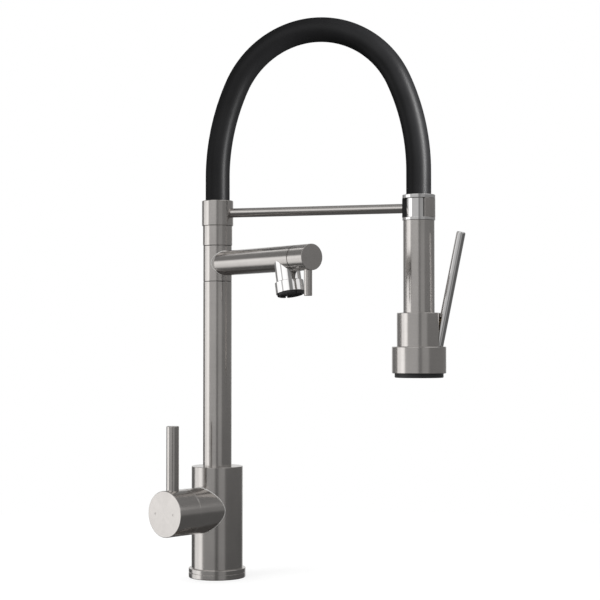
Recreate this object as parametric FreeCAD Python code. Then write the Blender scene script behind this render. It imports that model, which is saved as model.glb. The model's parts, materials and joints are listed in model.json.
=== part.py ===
import FreeCAD, Part
import math
import os

# Deck-mounted kitchen mixer with a pull-off spray on an arched hose and a second, swivelling spout.
# Millimetres. The origin is on the worktop at the column's axis, +Z is up and +X points at the spray.

V = FreeCAD.Vector

# ---------------------------------------------------------------- fits
RUNNING = 0.05            # radial clearance of a piece that turns or slides in another
SEATED = 0.05             # radial clearance of a piece that is screwed, pressed or soldered in
PASSING = 0.3             # gap between faces that pass each other without touching
EDGE = 0.5                # chamfer on the outer corners that a hand meets

# ---------------------------------------------------------------- deck fitting
FLANGE_RADIUS = 27.75
FLANGE_HEIGHT = 9.3
FLANGE_FLOOR = 3.0        # thickness of the flange under the body
FLANGE_FOOT = 0.8         # chamfer on the flange's lower edge
FLANGE_GROOVE_HEIGHT = 5.2
FLANGE_GROOVE_WIDTH = 0.7
FLANGE_GROOVE_DEPTH = 0.5
GASKET_INNER_RADIUS = 19.0
GASKET_OUTER_RADIUS = 23.5
GASKET_THICKNESS = 1.5
SHANK_RADIUS = 16.0       # M32 thread
SHANK_BORE_RADIUS = 13.6
SHANK_LENGTH = 62.0       # below the worktop's upper face
SHANK_GRIP = 12.0         # length screwed up into the body
WORKTOP = 40.0            # thickness clamped in the rest pose
CLAMP_RADIUS = 25.0
CLAMP_SEAL_THICKNESS = 2.0
CLAMP_WASHER_THICKNESS = 2.5
NUT_ACROSS_FLATS = 41.0
NUT_HEIGHT = 9.0

# ---------------------------------------------------------------- body and column
BODY_RADIUS = 25.0
BODY_HEIGHT = 107.8
COLUMN_RADIUS = 14.0
COLUMN_WALL = 1.5
COLUMN_LENGTH = 179.8     # above the body
COLUMN_SOCKET_DEPTH = 12.0
INLET_SPACING = 16.0      # between the two supply inlets
INLET_SETBACK = 2.0       # behind the column's axis, seen from the handle
INLET_RADIUS = 4.5        # M10 x 1 tapping
INLET_THREAD = 12.0
INLET_PASSAGE_RADIUS = 3.5
OUTLET_PASSAGE_RADIUS = 4.0

# ---------------------------------------------------------------- valve barrel and handle
HANDLE_AZIMUTH = -114.0
BARREL_HEIGHT = 66.3      # of the barrel's axis above the worktop
BARREL_RADIUS = 22.0
BARREL_REACH = 44.0       # from the column's axis to the seam with the cap
TILT_REACH = 23.6         # from the column's axis to the pin that the lever tilts on
CAP_LENGTH = 27.4
CAP_WALL = 6.0
CAP_END = 5.0
CAP_BOSS_RADIUS = 9.0
HANDLE_PIN_RADIUS = 6.0
HANDLE_PIN_REACH = 60.8   # from the column's axis
HANDLE_PIN_TOP = 149.0    # above the worktop
HANDLE_PIN_SEAT = 4.0     # depth of the pin in the cap
HANDLE_STUD_RADIUS = 3.0
HANDLE_STUD_LENGTH = 12.0
MARK_RADIUS = 1.1         # two plain dots, hot and cold
MARK_OFFSET = 12.0
MARK_DEPTH = 0.3
CARTRIDGE_RADIUS = 17.5
CARTRIDGE_BACK = 6.0      # from the column's axis to the valve's seat in the body
CARTRIDGE_LENGTH = 26.0
CARTRIDGE_SHELL = 3.0
CARTRIDGE_FLOOR = 3.0
CARTRIDGE_SEAL = 2.0
CARTRIDGE_PORT_RADIUS = 3.0
CARTRIDGE_PORT_PCD = 16.0
CERAMIC_THICKNESS = 3.0
MOVING_DISC_RADIUS = 10.5
TURNER_NECK_RADIUS = 12.4
TURNER_NECK_LENGTH = 3.0  # past the end of the valve's shell
TURNER_BACK = 2.4         # clear space behind the turner, over the moving disc
LEVER_WIDTH = 8.0
LEVER_SWING = 9.3         # half height of the slot that the lever swings in
LEVER_LENGTH = 40.0       # forward of its pin
LEVER_BACK = 3.7          # behind its pin
LEVER_TOE_RADIUS = 2.0
LEVER_TOE_LENGTH = 4.5
LEVER_PIN_RADIUS = 1.5
TOE_POCKET_RADIUS = 2.8
RETAINER_WALL = 2.6
GRUB_RADIUS = 2.5
GRUB_LENGTH = 5.0

# ---------------------------------------------------------------- swivelling spout
SPOUT_AZIMUTH = -36.5
WASHER_THICKNESS = 0.4
WASHER_INSET = 0.4        # of the slip washers behind the rings' faces
RING_HEIGHT = 34.6
ARM_RADIUS = 12.0
ARM_BORE_RADIUS = 9.5
ARM_SEAM_REACH = 131.3    # from the column's axis to the seam with the knob
ARM_PORT_RADIUS = 5.0
NECK_SETBACK = 17.0       # from the seam back to where the outlet's axis leaves the arm's axis
NECK_TILT = 12.5          # outward from straight down
NECK_RADIUS = 11.7
NECK_BORE_RADIUS = 9.2
NECK_LENGTH = 26.2        # from the arm's axis
AERATOR_RADIUS = 13.4
AERATOR_START = 21.9      # from the arm's axis, along the outlet
AERATOR_HEIGHT = 10.7
AERATOR_GRIP = 5.0        # length of the ring over the neck's thread
AERATOR_SEAL = 0.9
INSERT_RADIUS = 12.4
INSERT_PROUD = 1.8
INSERT_DISH = 1.6
INSERT_RIM = 2.4
INSERT_NOTCHES = 4
INSERT_NOTCH_WIDTH = 3.0
INSERT_SPOKES = 6
INSERT_SPOKE = 1.4        # width of a spoke at its outer end
INSERT_HUB_RADIUS = 3.0
SPOUT_VALVE_LENGTH = 34.0
SPOUT_VALVE_RECESS = 3.0  # of the valve behind the seam
SPINDLE_RADIUS = 4.0
SPINDLE_PORT_RADIUS = 2.4
KNOB_LENGTH = 22.5
KNOB_GRIP = 10.0          # depth of the spindle in the knob
KNOB_PIN_RADIUS = 3.75
KNOB_PIN_SPACING = 16.8   # from the seam to the pin's axis
KNOB_PIN_DROP = 35.0      # below the arm's axis
KNOB_PIN_SEAT = 8.0
KNOB_GRUB_RADIUS = 1.5

# ---------------------------------------------------------------- top of the column
SPIGOT_RADIUS = 10.95
SPIGOT_BORE_RADIUS = 5.0
SPIGOT_PLUG = 15.0        # length soldered into the column
SPIGOT_PORT_RADIUS = 2.5
SPIGOT_GALLERY = 1.4      # depth of the groove that feeds the arm at any angle
SPIGOT_GALLERY_HEIGHT = 9.0
ORING_SECTION = 1.6
ORING_INSET = 5.5         # from a ring's end face to its seal
SLEEVE_RADIUS = 14.4
SLEEVE_HEIGHT = 19.2
COLLAR_RADIUS = 15.35
COLLAR_HEIGHT = 24.8
COLLAR_FLOOR = 2.4
CIRCLIP_THICKNESS = 1.2
CIRCLIP_DEPTH = 0.9       # of its groove in the spigot
SPIGOT_TOP = 3.4          # of the spigot above the collar's floor
RISER_GAP = 1.5
RISER_DISC = 3.6

# ---------------------------------------------------------------- hose and support rod
REACH = 201.6             # from the column's axis to the spray's axis
HOSE_RADIUS = 11.8
HOSE_BORE_RADIUS = 9.0
INNER_HOSE_RADIUS = 7.0
INNER_HOSE_BORE_RADIUS = 4.0
HOSE_APEX = 529.9         # height of the hose's centreline at its top
HOSE_CROWN_RADIUS = 89.6  # over the top of the arch
HOSE_CROWN_ANGLE = 65.0   # each side of the apex
BARB_LENGTH = 14.0
BARB_BORE_RADIUS = 2.5
FERRULE_WALL = 1.1
FERRULE_LENGTH = 12.0
ROD_RADIUS = 4.5
ROD_RISE = 12.6           # of the rod's axis above the collar's lower face
ROD_SEAT = 2.75           # depth of the rod in the collar

# ---------------------------------------------------------------- dock
DOCK_FLANGE_RADIUS = 15.65
DOCK_NECK_RADIUS = 12.5
DOCK_NECK_HEIGHT = 18.0
DOCK_TOP_FLANGE = 3.6
DOCK_LOW_FLANGE = 2.7
DOCK_SPIGOT = 8.0         # length of the spool inside the grip tube
CLIP_WALL = 1.7
CLIP_MOUTH_START = -55.0  # azimuths, about the spray's axis
CLIP_STEEL_END = 188.0
CLIP_MOUTH_END = 202.0
CLIP_SCREW_RADIUS = 2.0
CLIP_SCREW_HEAD = 3.0
CLIP_SCREW_LENGTH = 9.0       # in the rod
HOSE_SOCKET = 2.8         # depth of the hose in the spool's upper flange
SWIVEL_POCKET_RADIUS = 10.5
SWIVEL_FLOOR = 3.2        # above the bottom of the neck
SWIVEL_DISC = 3.5
SWIVEL_STEM_RADIUS = 6.45
SWIVEL_STEM_LENGTH = 9.0

# ---------------------------------------------------------------- spray
GRIP_RADIUS = 14.8
GRIP_WALL = 2.0
GRIP_LENGTH = 87.0
SPRAY_COLLAR_RADIUS = 20.85
SPRAY_COLLAR_HEIGHT = 31.7
SPRAY_COLLAR_WALL = 2.5
SPRAY_COLLAR_ROOF = 3.0
BELL_RADIUS = 25.6
BELL_HEIGHT = 25.2
BELL_WALL = 2.3
BELL_ROOF = 3.0
FACE_RADIUS = 23.0
FACE_PROUD = 4.1
FACE_PLATE = 3.0
FACE_SKIRT = 9.0          # of the face inside the bell
FACE_SKIRT_WALL = 2.2
JET_RADIUS = 0.9
JET_RINGS = ((9.5, 8), (17.5, 16))   # radius of each ring of jets, and how many are in it
VALVE_CORE_RADIUS = 10.0
VALVE_PLUG_LENGTH = 8.0   # of the valve body inside the grip tube
VALVE_PORT_RADIUS = 2.0
LEVER_SLOT_WIDTH = 10.5
LEVER_SLOT_START = 10.6   # from the spray's axis

# ---------------------------------------------------------------- spray lever
TRIGGER_RADIUS = 4.25
TRIGGER_LEAN = 11.4       # outward from upright, released
TRIGGER_LENGTH = 118.0    # from the pivot to the tip
TRIGGER_FOOT = 4.8        # below the pivot
TRIGGER_FOOT_FLAT = 3.9   # half thickness across the foot
PIVOT_OFFSET = 17.1       # from the spray's axis
PIVOT_DEPTH = 8.4         # below the bell's roof
PIVOT_RADIUS = 1.5
EAR_RADIUS = 4.6
EAR_THICKNESS = 3.0
EAR_GAP = 5.0             # from the middle plane to each ear
PLUNGER_RISE = 22.0       # of the plunger above the pivot
PLUNGER_RADIUS = 3.0
PLUNGER_WAIST_RADIUS = 1.6
PLUNGER_WAIST_START = 2.3
PLUNGER_WAIST_LENGTH = 4.4
PLUNGER_BUTTON_RADIUS = 4.0
PLUNGER_BUTTON_START = 13.2
PLUNGER_NOSE_RADIUS = 2.5  # of the flat that the lever presses
PLUNGER_TAIL = 3.0        # of the plunger past the spray's axis
SPRING_POCKET_RADIUS = 4.0
SPRING_POCKET_END = 8.8   # past the spray's axis
SPRING_WIRE_RADIUS = 0.4
SPRING_RADIUS = 2.7
SPRING_TURNS = 4

# ---------------------------------------------------------------- places worked out from the sizes
COLUMN_TOP = BODY_HEIGHT + COLUMN_LENGTH
RING_BOTTOM = COLUMN_TOP + WASHER_THICKNESS
RING_TOP = RING_BOTTOM + RING_HEIGHT
ARM_HEIGHT = (RING_BOTTOM + RING_TOP) / 2
SLEEVE_BOTTOM = RING_TOP + WASHER_THICKNESS
COLLAR_BOTTOM = SLEEVE_BOTTOM + SLEEVE_HEIGHT
COLLAR_TOP = COLLAR_BOTTOM + COLLAR_HEIGHT
COLLAR_SEAT = COLLAR_BOTTOM + COLLAR_FLOOR
SPIGOT_HEAD = COLLAR_SEAT + SPIGOT_TOP
RISER_BOTTOM = SPIGOT_HEAD + RISER_GAP
HOSE_START = RISER_BOTTOM + RISER_DISC
ROD_HEIGHT = COLLAR_BOTTOM + ROD_RISE
RING_RUNNING_RADIUS = SPIGOT_RADIUS + RUNNING
COLLAR_BORE_RADIUS = HOSE_RADIUS + 2 * SEATED

NECK_REACH = ARM_SEAM_REACH - NECK_SETBACK
KNOB_PIN_REACH = ARM_SEAM_REACH + KNOB_PIN_SPACING

NECK_BOTTOM = ROD_HEIGHT - DOCK_NECK_HEIGHT / 2
NECK_TOP = ROD_HEIGHT + DOCK_NECK_HEIGHT / 2
SPOOL_BOTTOM = NECK_BOTTOM - DOCK_LOW_FLANGE
SPOOL_TOP = NECK_TOP + DOCK_TOP_FLANGE
HOSE_END = SPOOL_TOP - HOSE_SOCKET + PASSING
SWIVEL_SEAT = NECK_BOTTOM + SWIVEL_FLOOR
GRIP_BOTTOM = SPOOL_BOTTOM - GRIP_LENGTH
BELL_TOP = GRIP_BOTTOM - SPRAY_COLLAR_HEIGHT
BELL_BOTTOM = BELL_TOP - BELL_HEIGHT
FACE_BOTTOM = BELL_BOTTOM - FACE_PROUD
GRIP_BORE_RADIUS = GRIP_RADIUS - GRIP_WALL
PIVOT_HEIGHT = BELL_TOP - PIVOT_DEPTH
PLUNGER_HEIGHT = PIVOT_HEIGHT + PLUNGER_RISE
CLIP_INNER_RADIUS = DOCK_NECK_RADIUS + RUNNING
CLIP_STEEL_RADIUS = DOCK_FLANGE_RADIUS - CLIP_WALL

DOME_RADIUS = math.hypot(BARREL_REACH - TILT_REACH, BARREL_RADIUS)
CAP_DOME_RADIUS = DOME_RADIUS + PASSING
CAP_REACH = BARREL_REACH + CAP_LENGTH
BARREL_BORE_RADIUS = CARTRIDGE_RADIUS + SEATED
SHELL_BACK = CARTRIDGE_BACK + CARTRIDGE_SEAL
SHELL_FRONT = SHELL_BACK + CARTRIDGE_LENGTH
DISC_BACK = SHELL_BACK + CARTRIDGE_FLOOR
DISC_FRONT = DISC_BACK + CERAMIC_THICKNESS
MOVING_FRONT = DISC_FRONT + SEATED + CERAMIC_THICKNESS
TURNER_START = MOVING_FRONT + TURNER_BACK
SHELL_BORE_RADIUS = CARTRIDGE_RADIUS - CARTRIDGE_SHELL
FAR = 1000.0              # longer than anything a cut has to go through


# ---------------------------------------------------------------- shapes that repeat
def turned(outline):
    """A solid turned about Z from a closed outline of (radius, height) corners."""
    corners = [V(radius, 0, height) for radius, height in outline]
    face = Part.Face(Part.makePolygon(corners + corners[:1]))
    return face.revolve(V(0, 0, 0), V(0, 0, 1), 360)


def rod(radius, bottom, top):
    return Part.makeCylinder(radius, top - bottom, V(0, 0, bottom))


def ring(outer, inner, bottom, top):
    return rod(outer, bottom, top).cut(rod(inner, bottom - 1, top + 1))


def chamfered(radius, bottom, top, low=0.0, high=0.0):
    """A round bar with its lower and upper corners chamfered."""
    outline = [(0, bottom), (radius - low, bottom), (radius, bottom + low),
               (radius, top - high), (radius - high, top), (0, top)]
    return turned([p for i, p in enumerate(outline) if p != outline[i - 1]])


def sector(outer, inner, bottom, top, start, end):
    """Part of a ring, from one azimuth to another."""
    corners = [V(inner, 0, bottom), V(outer, 0, bottom), V(outer, 0, top), V(inner, 0, top)]
    face = Part.Face(Part.makePolygon(corners + corners[:1]))
    face.rotate(V(0, 0, 0), V(0, 0, 1), start)
    return face.revolve(V(0, 0, 0), V(0, 0, 1), end - start)


def block(low, high):
    size = [b - a for a, b in zip(low, high)]
    return Part.makeBox(*size, V(*low))


def turn(shape, axis, angle):
    turned_shape = shape.copy()
    turned_shape.rotate(V(0, 0, 0), axis, angle)
    return turned_shape


def move(shape, x=0.0, y=0.0, z=0.0):
    moved = shape.copy()
    moved.translate(V(x, y, z))
    return moved


def along_x(shape):
    """Lays a shape that was built along Z down along X."""
    return turn(shape, V(0, 1, 0), 90)


def along_y(shape):
    return turn(shape, V(1, 0, 0), -90)


def joined(shapes):
    whole = shapes[0]
    for shape in shapes[1:]:
        whole = whole.fuse(shape)
    return whole.removeSplitter()


def without(shape, *cutters):
    for cutter in cutters:
        shape = shape.cut(cutter)
    return shape.removeSplitter()


def separate(shapes):
    """Several loose solids that share one node."""
    return Part.makeCompound([solid for shape in shapes for solid in shape.Solids])


def around(shape, count, start=0.0):
    return [turn(shape, V(0, 0, 1), start + 360.0 * i / count) for i in range(count)]


def at_barrel(shape):
    """From the barrel's own frame, with X along its axis, to the tap's."""
    return move(turn(shape, V(0, 0, 1), HANDLE_AZIMUTH), z=BARREL_HEIGHT)


def at_spout(shape):
    return move(turn(shape, V(0, 0, 1), SPOUT_AZIMUTH), z=ARM_HEIGHT)


def at_outlet(shape):
    """From the outlet's frame, with its flow along -Z from the arm's axis, to the arm's."""
    return move(turn(shape, V(0, 1, 0), -NECK_TILT), x=NECK_REACH)


def at_spray(shape):
    return move(shape, x=REACH)


def oring(radius, height):
    """A seal ring whose outside is flush with a shaft of this radius."""
    return Part.makeTorus(radius - ORING_SECTION / 2, ORING_SECTION / 2, V(0, 0, height))


def oring_groove(radius, height):
    half = ORING_SECTION / 2 + SEATED
    return ring(radius + 1, radius - ORING_SECTION - SEATED, height - half, height + half)


# ---------------------------------------------------------------- deck fitting
def base_flange():
    groove_low = FLANGE_GROOVE_HEIGHT - FLANGE_GROOVE_WIDTH / 2
    groove_high = FLANGE_GROOVE_HEIGHT + FLANGE_GROOVE_WIDTH / 2
    groove_radius = FLANGE_RADIUS - FLANGE_GROOVE_DEPTH
    outline = [(SHANK_RADIUS + SEATED, 0), (FLANGE_RADIUS - FLANGE_FOOT, 0), (FLANGE_RADIUS, FLANGE_FOOT),
               (FLANGE_RADIUS, groove_low), (groove_radius, groove_low),
               (groove_radius, groove_high), (FLANGE_RADIUS, groove_high),
               (FLANGE_RADIUS, FLANGE_HEIGHT - EDGE), (FLANGE_RADIUS - EDGE, FLANGE_HEIGHT),
               (BODY_RADIUS + SEATED, FLANGE_HEIGHT), (BODY_RADIUS + SEATED, FLANGE_FLOOR),
               (SHANK_RADIUS + SEATED, FLANGE_FLOOR)]
    gasket_groove = ring(GASKET_OUTER_RADIUS + SEATED, GASKET_INNER_RADIUS - SEATED, -1, GASKET_THICKNESS)
    return without(turned(outline), gasket_groove)


def deck_gasket():
    return ring(GASKET_OUTER_RADIUS, GASKET_INNER_RADIUS, 0, GASKET_THICKNESS)


def mounting_shank():
    top = FLANGE_FLOOR + SHANK_GRIP
    outline = [(SHANK_BORE_RADIUS, -SHANK_LENGTH), (SHANK_RADIUS - EDGE, -SHANK_LENGTH),
               (SHANK_RADIUS, EDGE - SHANK_LENGTH), (SHANK_RADIUS, top), (SHANK_BORE_RADIUS, top)]
    return turned(outline)


def horseshoe(top, thickness):
    """A washer that slips on to the shank from one side."""
    bore = SHANK_RADIUS + RUNNING
    disc = ring(CLAMP_RADIUS, bore, top - thickness, top)
    way_in = block((-bore, 0, top - thickness - 1), (bore, CLAMP_RADIUS + 1, top + 1))
    return without(disc, way_in)


def clamp_seal():
    return horseshoe(-WORKTOP, CLAMP_SEAL_THICKNESS)


def clamp_washer():
    return horseshoe(-WORKTOP - CLAMP_SEAL_THICKNESS, CLAMP_WASHER_THICKNESS)


def fixing_nut():
    top = -WORKTOP - CLAMP_SEAL_THICKNESS - CLAMP_WASHER_THICKNESS
    corner = NUT_ACROSS_FLATS / 2 / math.cos(math.radians(30))
    corners = [V(corner * math.cos(math.radians(60 * i)), corner * math.sin(math.radians(60 * i)), top)
               for i in range(7)]
    prism = Part.Face(Part.makePolygon(corners)).extrude(V(0, 0, -NUT_HEIGHT))
    rounding = chamfered(corner, top - NUT_HEIGHT, top, 1.5, 1.5)
    return without(prism.common(rounding), rod(SHANK_RADIUS + RUNNING, top - FAR, top + 1))


# ---------------------------------------------------------------- body
def port_places():
    """Cold inlet, hot inlet and mixed outlet on the valve's seat, as (y, z) in the barrel's frame."""
    half = CARTRIDGE_PORT_PCD / 2
    return [(-half, 0.0), (half, 0.0), (0.0, half)]


def ports(radius, start, end):
    """Holes along the barrel through the three ports."""
    return [move(along_x(rod(radius, start, end)), y=y, z=z) for y, z in port_places()]


def water_passages():
    """Supply passages up to the valve's seat, and the mixed water's way back to the column."""
    half = INLET_SPACING / 2
    thread_top = FLANGE_FLOOR + SHANK_GRIP + INLET_THREAD
    cuts = []
    for side in (-half, half):
        thread = rod(INLET_RADIUS, 0, thread_top)
        passage = rod(INLET_PASSAGE_RADIUS, thread_top - 1, BARREL_HEIGHT)
        for cut in (thread, passage):
            cuts.append(turn(move(cut, x=-INLET_SETBACK, y=side), V(0, 0, 1), HANDLE_AZIMUTH))
        link = along_x(rod(CARTRIDGE_PORT_RADIUS, -INLET_SETBACK, CARTRIDGE_BACK + 1))
        cuts.append(at_barrel(move(link, y=side)))
    outlet_height = CARTRIDGE_PORT_PCD / 2
    link = along_x(rod(CARTRIDGE_PORT_RADIUS, 0, CARTRIDGE_BACK + 1))
    cuts.append(at_barrel(move(link, z=outlet_height)))
    cuts.append(rod(OUTLET_PASSAGE_RADIUS, BARREL_HEIGHT + outlet_height, BODY_HEIGHT))
    return cuts


def tap_body():
    trunk = chamfered(BODY_RADIUS, FLANGE_FLOOR, BODY_HEIGHT, 0, EDGE)
    valve_seat = at_barrel(along_x(rod(BARREL_BORE_RADIUS, CARTRIDGE_BACK, FAR)))
    socket = rod(COLUMN_RADIUS + SEATED, BODY_HEIGHT - COLUMN_SOCKET_DEPTH, BODY_HEIGHT + 1)
    shank_seat = rod(SHANK_RADIUS + SEATED, 0, FLANGE_FLOOR + SHANK_GRIP)
    return without(trunk, valve_seat, socket, shank_seat, *water_passages())


def valve_barrel():
    """The sleeve round the valve, brazed on to the body's side. Its nose is the ball that the cap tilts on."""
    blank = along_x(ring(BARREL_RADIUS, BARREL_BORE_RADIUS, 0, TILT_REACH + DOME_RADIUS))
    nose = Part.makeSphere(DOME_RADIUS, V(TILT_REACH, 0, 0))
    trunk = rod(BODY_RADIUS + SEATED, 0, FAR)
    return at_barrel(blank.common(nose)).cut(trunk).removeSplitter()


def column_tube():
    return ring(COLUMN_RADIUS, COLUMN_RADIUS - COLUMN_WALL, BODY_HEIGHT - COLUMN_SOCKET_DEPTH, COLUMN_TOP)


# ---------------------------------------------------------------- mixing valve, in the barrel's frame
def cartridge_seals():
    seal = ring(CARTRIDGE_PORT_RADIUS + 1.2, CARTRIDGE_PORT_RADIUS, CARTRIDGE_BACK, SHELL_BACK)
    return at_barrel(separate([move(along_x(seal), y=y, z=z) for y, z in port_places()]))


def cartridge_housing():
    lip_radius = TURNER_NECK_RADIUS + RUNNING
    outline = [(0, SHELL_BACK), (CARTRIDGE_RADIUS, SHELL_BACK), (CARTRIDGE_RADIUS, SHELL_FRONT),
               (lip_radius, SHELL_FRONT), (lip_radius, SHELL_FRONT - CARTRIDGE_SHELL),
               (SHELL_BORE_RADIUS, SHELL_FRONT - CARTRIDGE_SHELL), (SHELL_BORE_RADIUS, DISC_BACK),
               (0, DISC_BACK)]
    holes = ports(CARTRIDGE_PORT_RADIUS, SHELL_BACK - 1, DISC_BACK + 1)
    return at_barrel(without(along_x(turned(outline)), *holes))


def fixed_disc():
    disc = along_x(rod(SHELL_BORE_RADIUS - SEATED, DISC_BACK, DISC_FRONT))
    return at_barrel(without(disc, *ports(CARTRIDGE_PORT_RADIUS, DISC_BACK - 1, DISC_FRONT + 1)))


def moving_disc():
    """Slides over the fixed disc, and joins its ports through a pocket in its back."""
    start = DISC_FRONT + SEATED
    disc = along_x(rod(MOVING_DISC_RADIUS, start, MOVING_FRONT))
    pocket = along_x(rod(TOE_POCKET_RADIUS, start + CERAMIC_THICKNESS / 3, MOVING_FRONT + 1))
    mixing_face = along_x(rod(CARTRIDGE_PORT_PCD / 2 - 1, start - 1, start + CERAMIC_THICKNESS / 4))
    return at_barrel(without(disc, pocket, mixing_face))


def lever_slot():
    half = LEVER_WIDTH / 2 + RUNNING
    return block((0, -half, -LEVER_SWING), (FAR, half, LEVER_SWING))


def cartridge_turner():
    shoulder = SHELL_FRONT - CARTRIDGE_SHELL - RUNNING
    barrel = along_x(rod(SHELL_BORE_RADIUS - RUNNING, TURNER_START, shoulder))
    neck = along_x(rod(TURNER_NECK_RADIUS, TURNER_START, SHELL_FRONT + TURNER_NECK_LENGTH))
    pin_hole = move(along_y(rod(LEVER_PIN_RADIUS + SEATED, -FAR, FAR)), x=TILT_REACH)
    return at_barrel(without(joined([barrel, neck]), lever_slot(), pin_hole))


def cartridge_pin():
    half = SHELL_BORE_RADIUS - 1.5
    return at_barrel(move(along_y(rod(LEVER_PIN_RADIUS, -half, half)), x=TILT_REACH))


def cartridge_lever():
    half = LEVER_WIDTH / 2
    bar = block((TILT_REACH - LEVER_BACK, -half, -half), (TILT_REACH + LEVER_LENGTH, half, half))
    toe_start = TILT_REACH - LEVER_BACK - LEVER_TOE_LENGTH
    toe = along_x(chamfered(LEVER_TOE_RADIUS, toe_start, TILT_REACH - LEVER_BACK + 1, EDGE))
    pin_hole = move(along_y(rod(LEVER_PIN_RADIUS + RUNNING, -FAR, FAR)), x=TILT_REACH)
    return at_barrel(without(joined([bar, toe]), pin_hole))


def cartridge_retainer():
    """The screwed ring that holds the valve down. Its nose carries on the barrel's ball."""
    inner = CARTRIDGE_RADIUS - RETAINER_WALL
    blank = along_x(ring(CARTRIDGE_RADIUS, inner, SHELL_FRONT, TILT_REACH + DOME_RADIUS))
    return at_barrel(blank.common(Part.makeSphere(DOME_RADIUS, V(TILT_REACH, 0, 0))))


# ---------------------------------------------------------------- handle, in the barrel's frame
def grub_place():
    return (CAP_REACH - CAP_END + TILT_REACH + DOME_RADIUS) / 2


def handle_cap():
    blank = along_x(chamfered(BARREL_RADIUS, BARREL_REACH - CAP_WALL, CAP_REACH, 0, EDGE))
    hollow = along_x(ring(BARREL_RADIUS - CAP_WALL, CAP_BOSS_RADIUS, 0, CAP_REACH - CAP_END))
    ball = Part.makeSphere(CAP_DOME_RADIUS, V(TILT_REACH, 0, 0))
    half = LEVER_WIDTH / 2 + SEATED
    socket = block((0, -half, -half), (TILT_REACH + LEVER_LENGTH + PASSING, half, half))
    pin_seat = move(rod(HANDLE_PIN_RADIUS + SEATED, BARREL_RADIUS - HANDLE_PIN_SEAT, FAR), x=HANDLE_PIN_REACH)
    stud_bottom = BARREL_RADIUS - HANDLE_PIN_SEAT - HANDLE_STUD_LENGTH
    stud_hole = move(rod(HANDLE_STUD_RADIUS + SEATED, stud_bottom - SEATED, FAR), x=HANDLE_PIN_REACH)
    grub_hole = move(rod(GRUB_RADIUS + SEATED, -FAR, 0), x=grub_place())
    mark = along_x(rod(MARK_RADIUS, CAP_REACH - MARK_DEPTH, CAP_REACH + 1))
    marks = [move(mark, y=-MARK_OFFSET), move(mark, y=MARK_OFFSET)]
    return at_barrel(without(blank, hollow, ball, socket, pin_seat, stud_hole, grub_hole, *marks))


def handle_pin():
    seat = BARREL_RADIUS - HANDLE_PIN_SEAT
    bar = chamfered(HANDLE_PIN_RADIUS, seat, HANDLE_PIN_TOP - BARREL_HEIGHT, 0, EDGE)
    stud = rod(HANDLE_STUD_RADIUS, seat - HANDLE_STUD_LENGTH, seat)
    return at_barrel(move(joined([bar, stud]), x=HANDLE_PIN_REACH))


def handle_grub_screw():
    top = -LEVER_WIDTH / 2
    return at_barrel(move(hex_grub(GRUB_RADIUS, top - GRUB_LENGTH, top), x=grub_place()))


def hex_grub(radius, bottom, top):
    """A headless screw with a hexagon socket in its lower end."""
    across = radius * 0.55
    corners = [V(across * math.cos(math.radians(60 * i)), across * math.sin(math.radians(60 * i)), bottom)
               for i in range(7)]
    socket = Part.Face(Part.makePolygon(corners)).extrude(V(0, 0, (top - bottom) / 2))
    return without(rod(radius, bottom, top), socket)


# ---------------------------------------------------------------- swivel at the top of the column
def swivel_seal_heights():
    return [RING_BOTTOM + ORING_INSET, RING_TOP - ORING_INSET,
            SLEEVE_BOTTOM + ORING_INSET, COLLAR_BOTTOM - ORING_INSET]


def circlip_span():
    return COLLAR_SEAT + PASSING, COLLAR_SEAT + PASSING + CIRCLIP_THICKNESS


def swivel_spigot():
    """The hollow post that the spout and the arch turn on. It feeds the arm through a gallery."""
    plug = rod(COLUMN_RADIUS - COLUMN_WALL - SEATED, COLUMN_TOP - SPIGOT_PLUG, COLUMN_TOP)
    post = chamfered(SPIGOT_RADIUS, COLUMN_TOP, SPIGOT_HEAD, 0, EDGE)
    gallery_low = ARM_HEIGHT - SPIGOT_GALLERY_HEIGHT / 2
    gallery_high = ARM_HEIGHT + SPIGOT_GALLERY_HEIGHT / 2
    gallery = ring(SPIGOT_RADIUS + 1, SPIGOT_RADIUS - SPIGOT_GALLERY, gallery_low, gallery_high)
    feed = move(along_x(rod(SPIGOT_PORT_RADIUS, 0, SPIGOT_RADIUS + 1)), z=ARM_HEIGHT)
    low, high = circlip_span()
    clip_groove = ring(SPIGOT_RADIUS + 1, SPIGOT_RADIUS - CIRCLIP_DEPTH, low - SEATED, high + SEATED)
    bore = rod(SPIGOT_BORE_RADIUS, 0, FAR)
    grooves = [oring_groove(SPIGOT_RADIUS, height) for height in swivel_seal_heights()]
    return without(joined([plug, post]), bore, gallery, clip_groove, *around(feed, 4), *grooves)


def swivel_orings():
    return separate([oring(SPIGOT_RADIUS, height) for height in swivel_seal_heights()])


def slip_washers():
    outer = COLUMN_RADIUS - WASHER_INSET
    return separate([ring(outer, SPIGOT_RADIUS + SEATED, bottom, bottom + WASHER_THICKNESS)
                     for bottom in (COLUMN_TOP, RING_TOP)])


def swivel_circlip():
    """An open spring ring in the spigot's top groove. It keeps the collar down."""
    low, high = circlip_span()
    outer = COLLAR_BORE_RADIUS - PASSING
    return sector(outer, SPIGOT_RADIUS - CIRCLIP_DEPTH + SEATED, low, high, 100, 440)


def upper_sleeve():
    return ring(SLEEVE_RADIUS, RING_RUNNING_RADIUS, SLEEVE_BOTTOM, COLLAR_BOTTOM)


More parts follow.
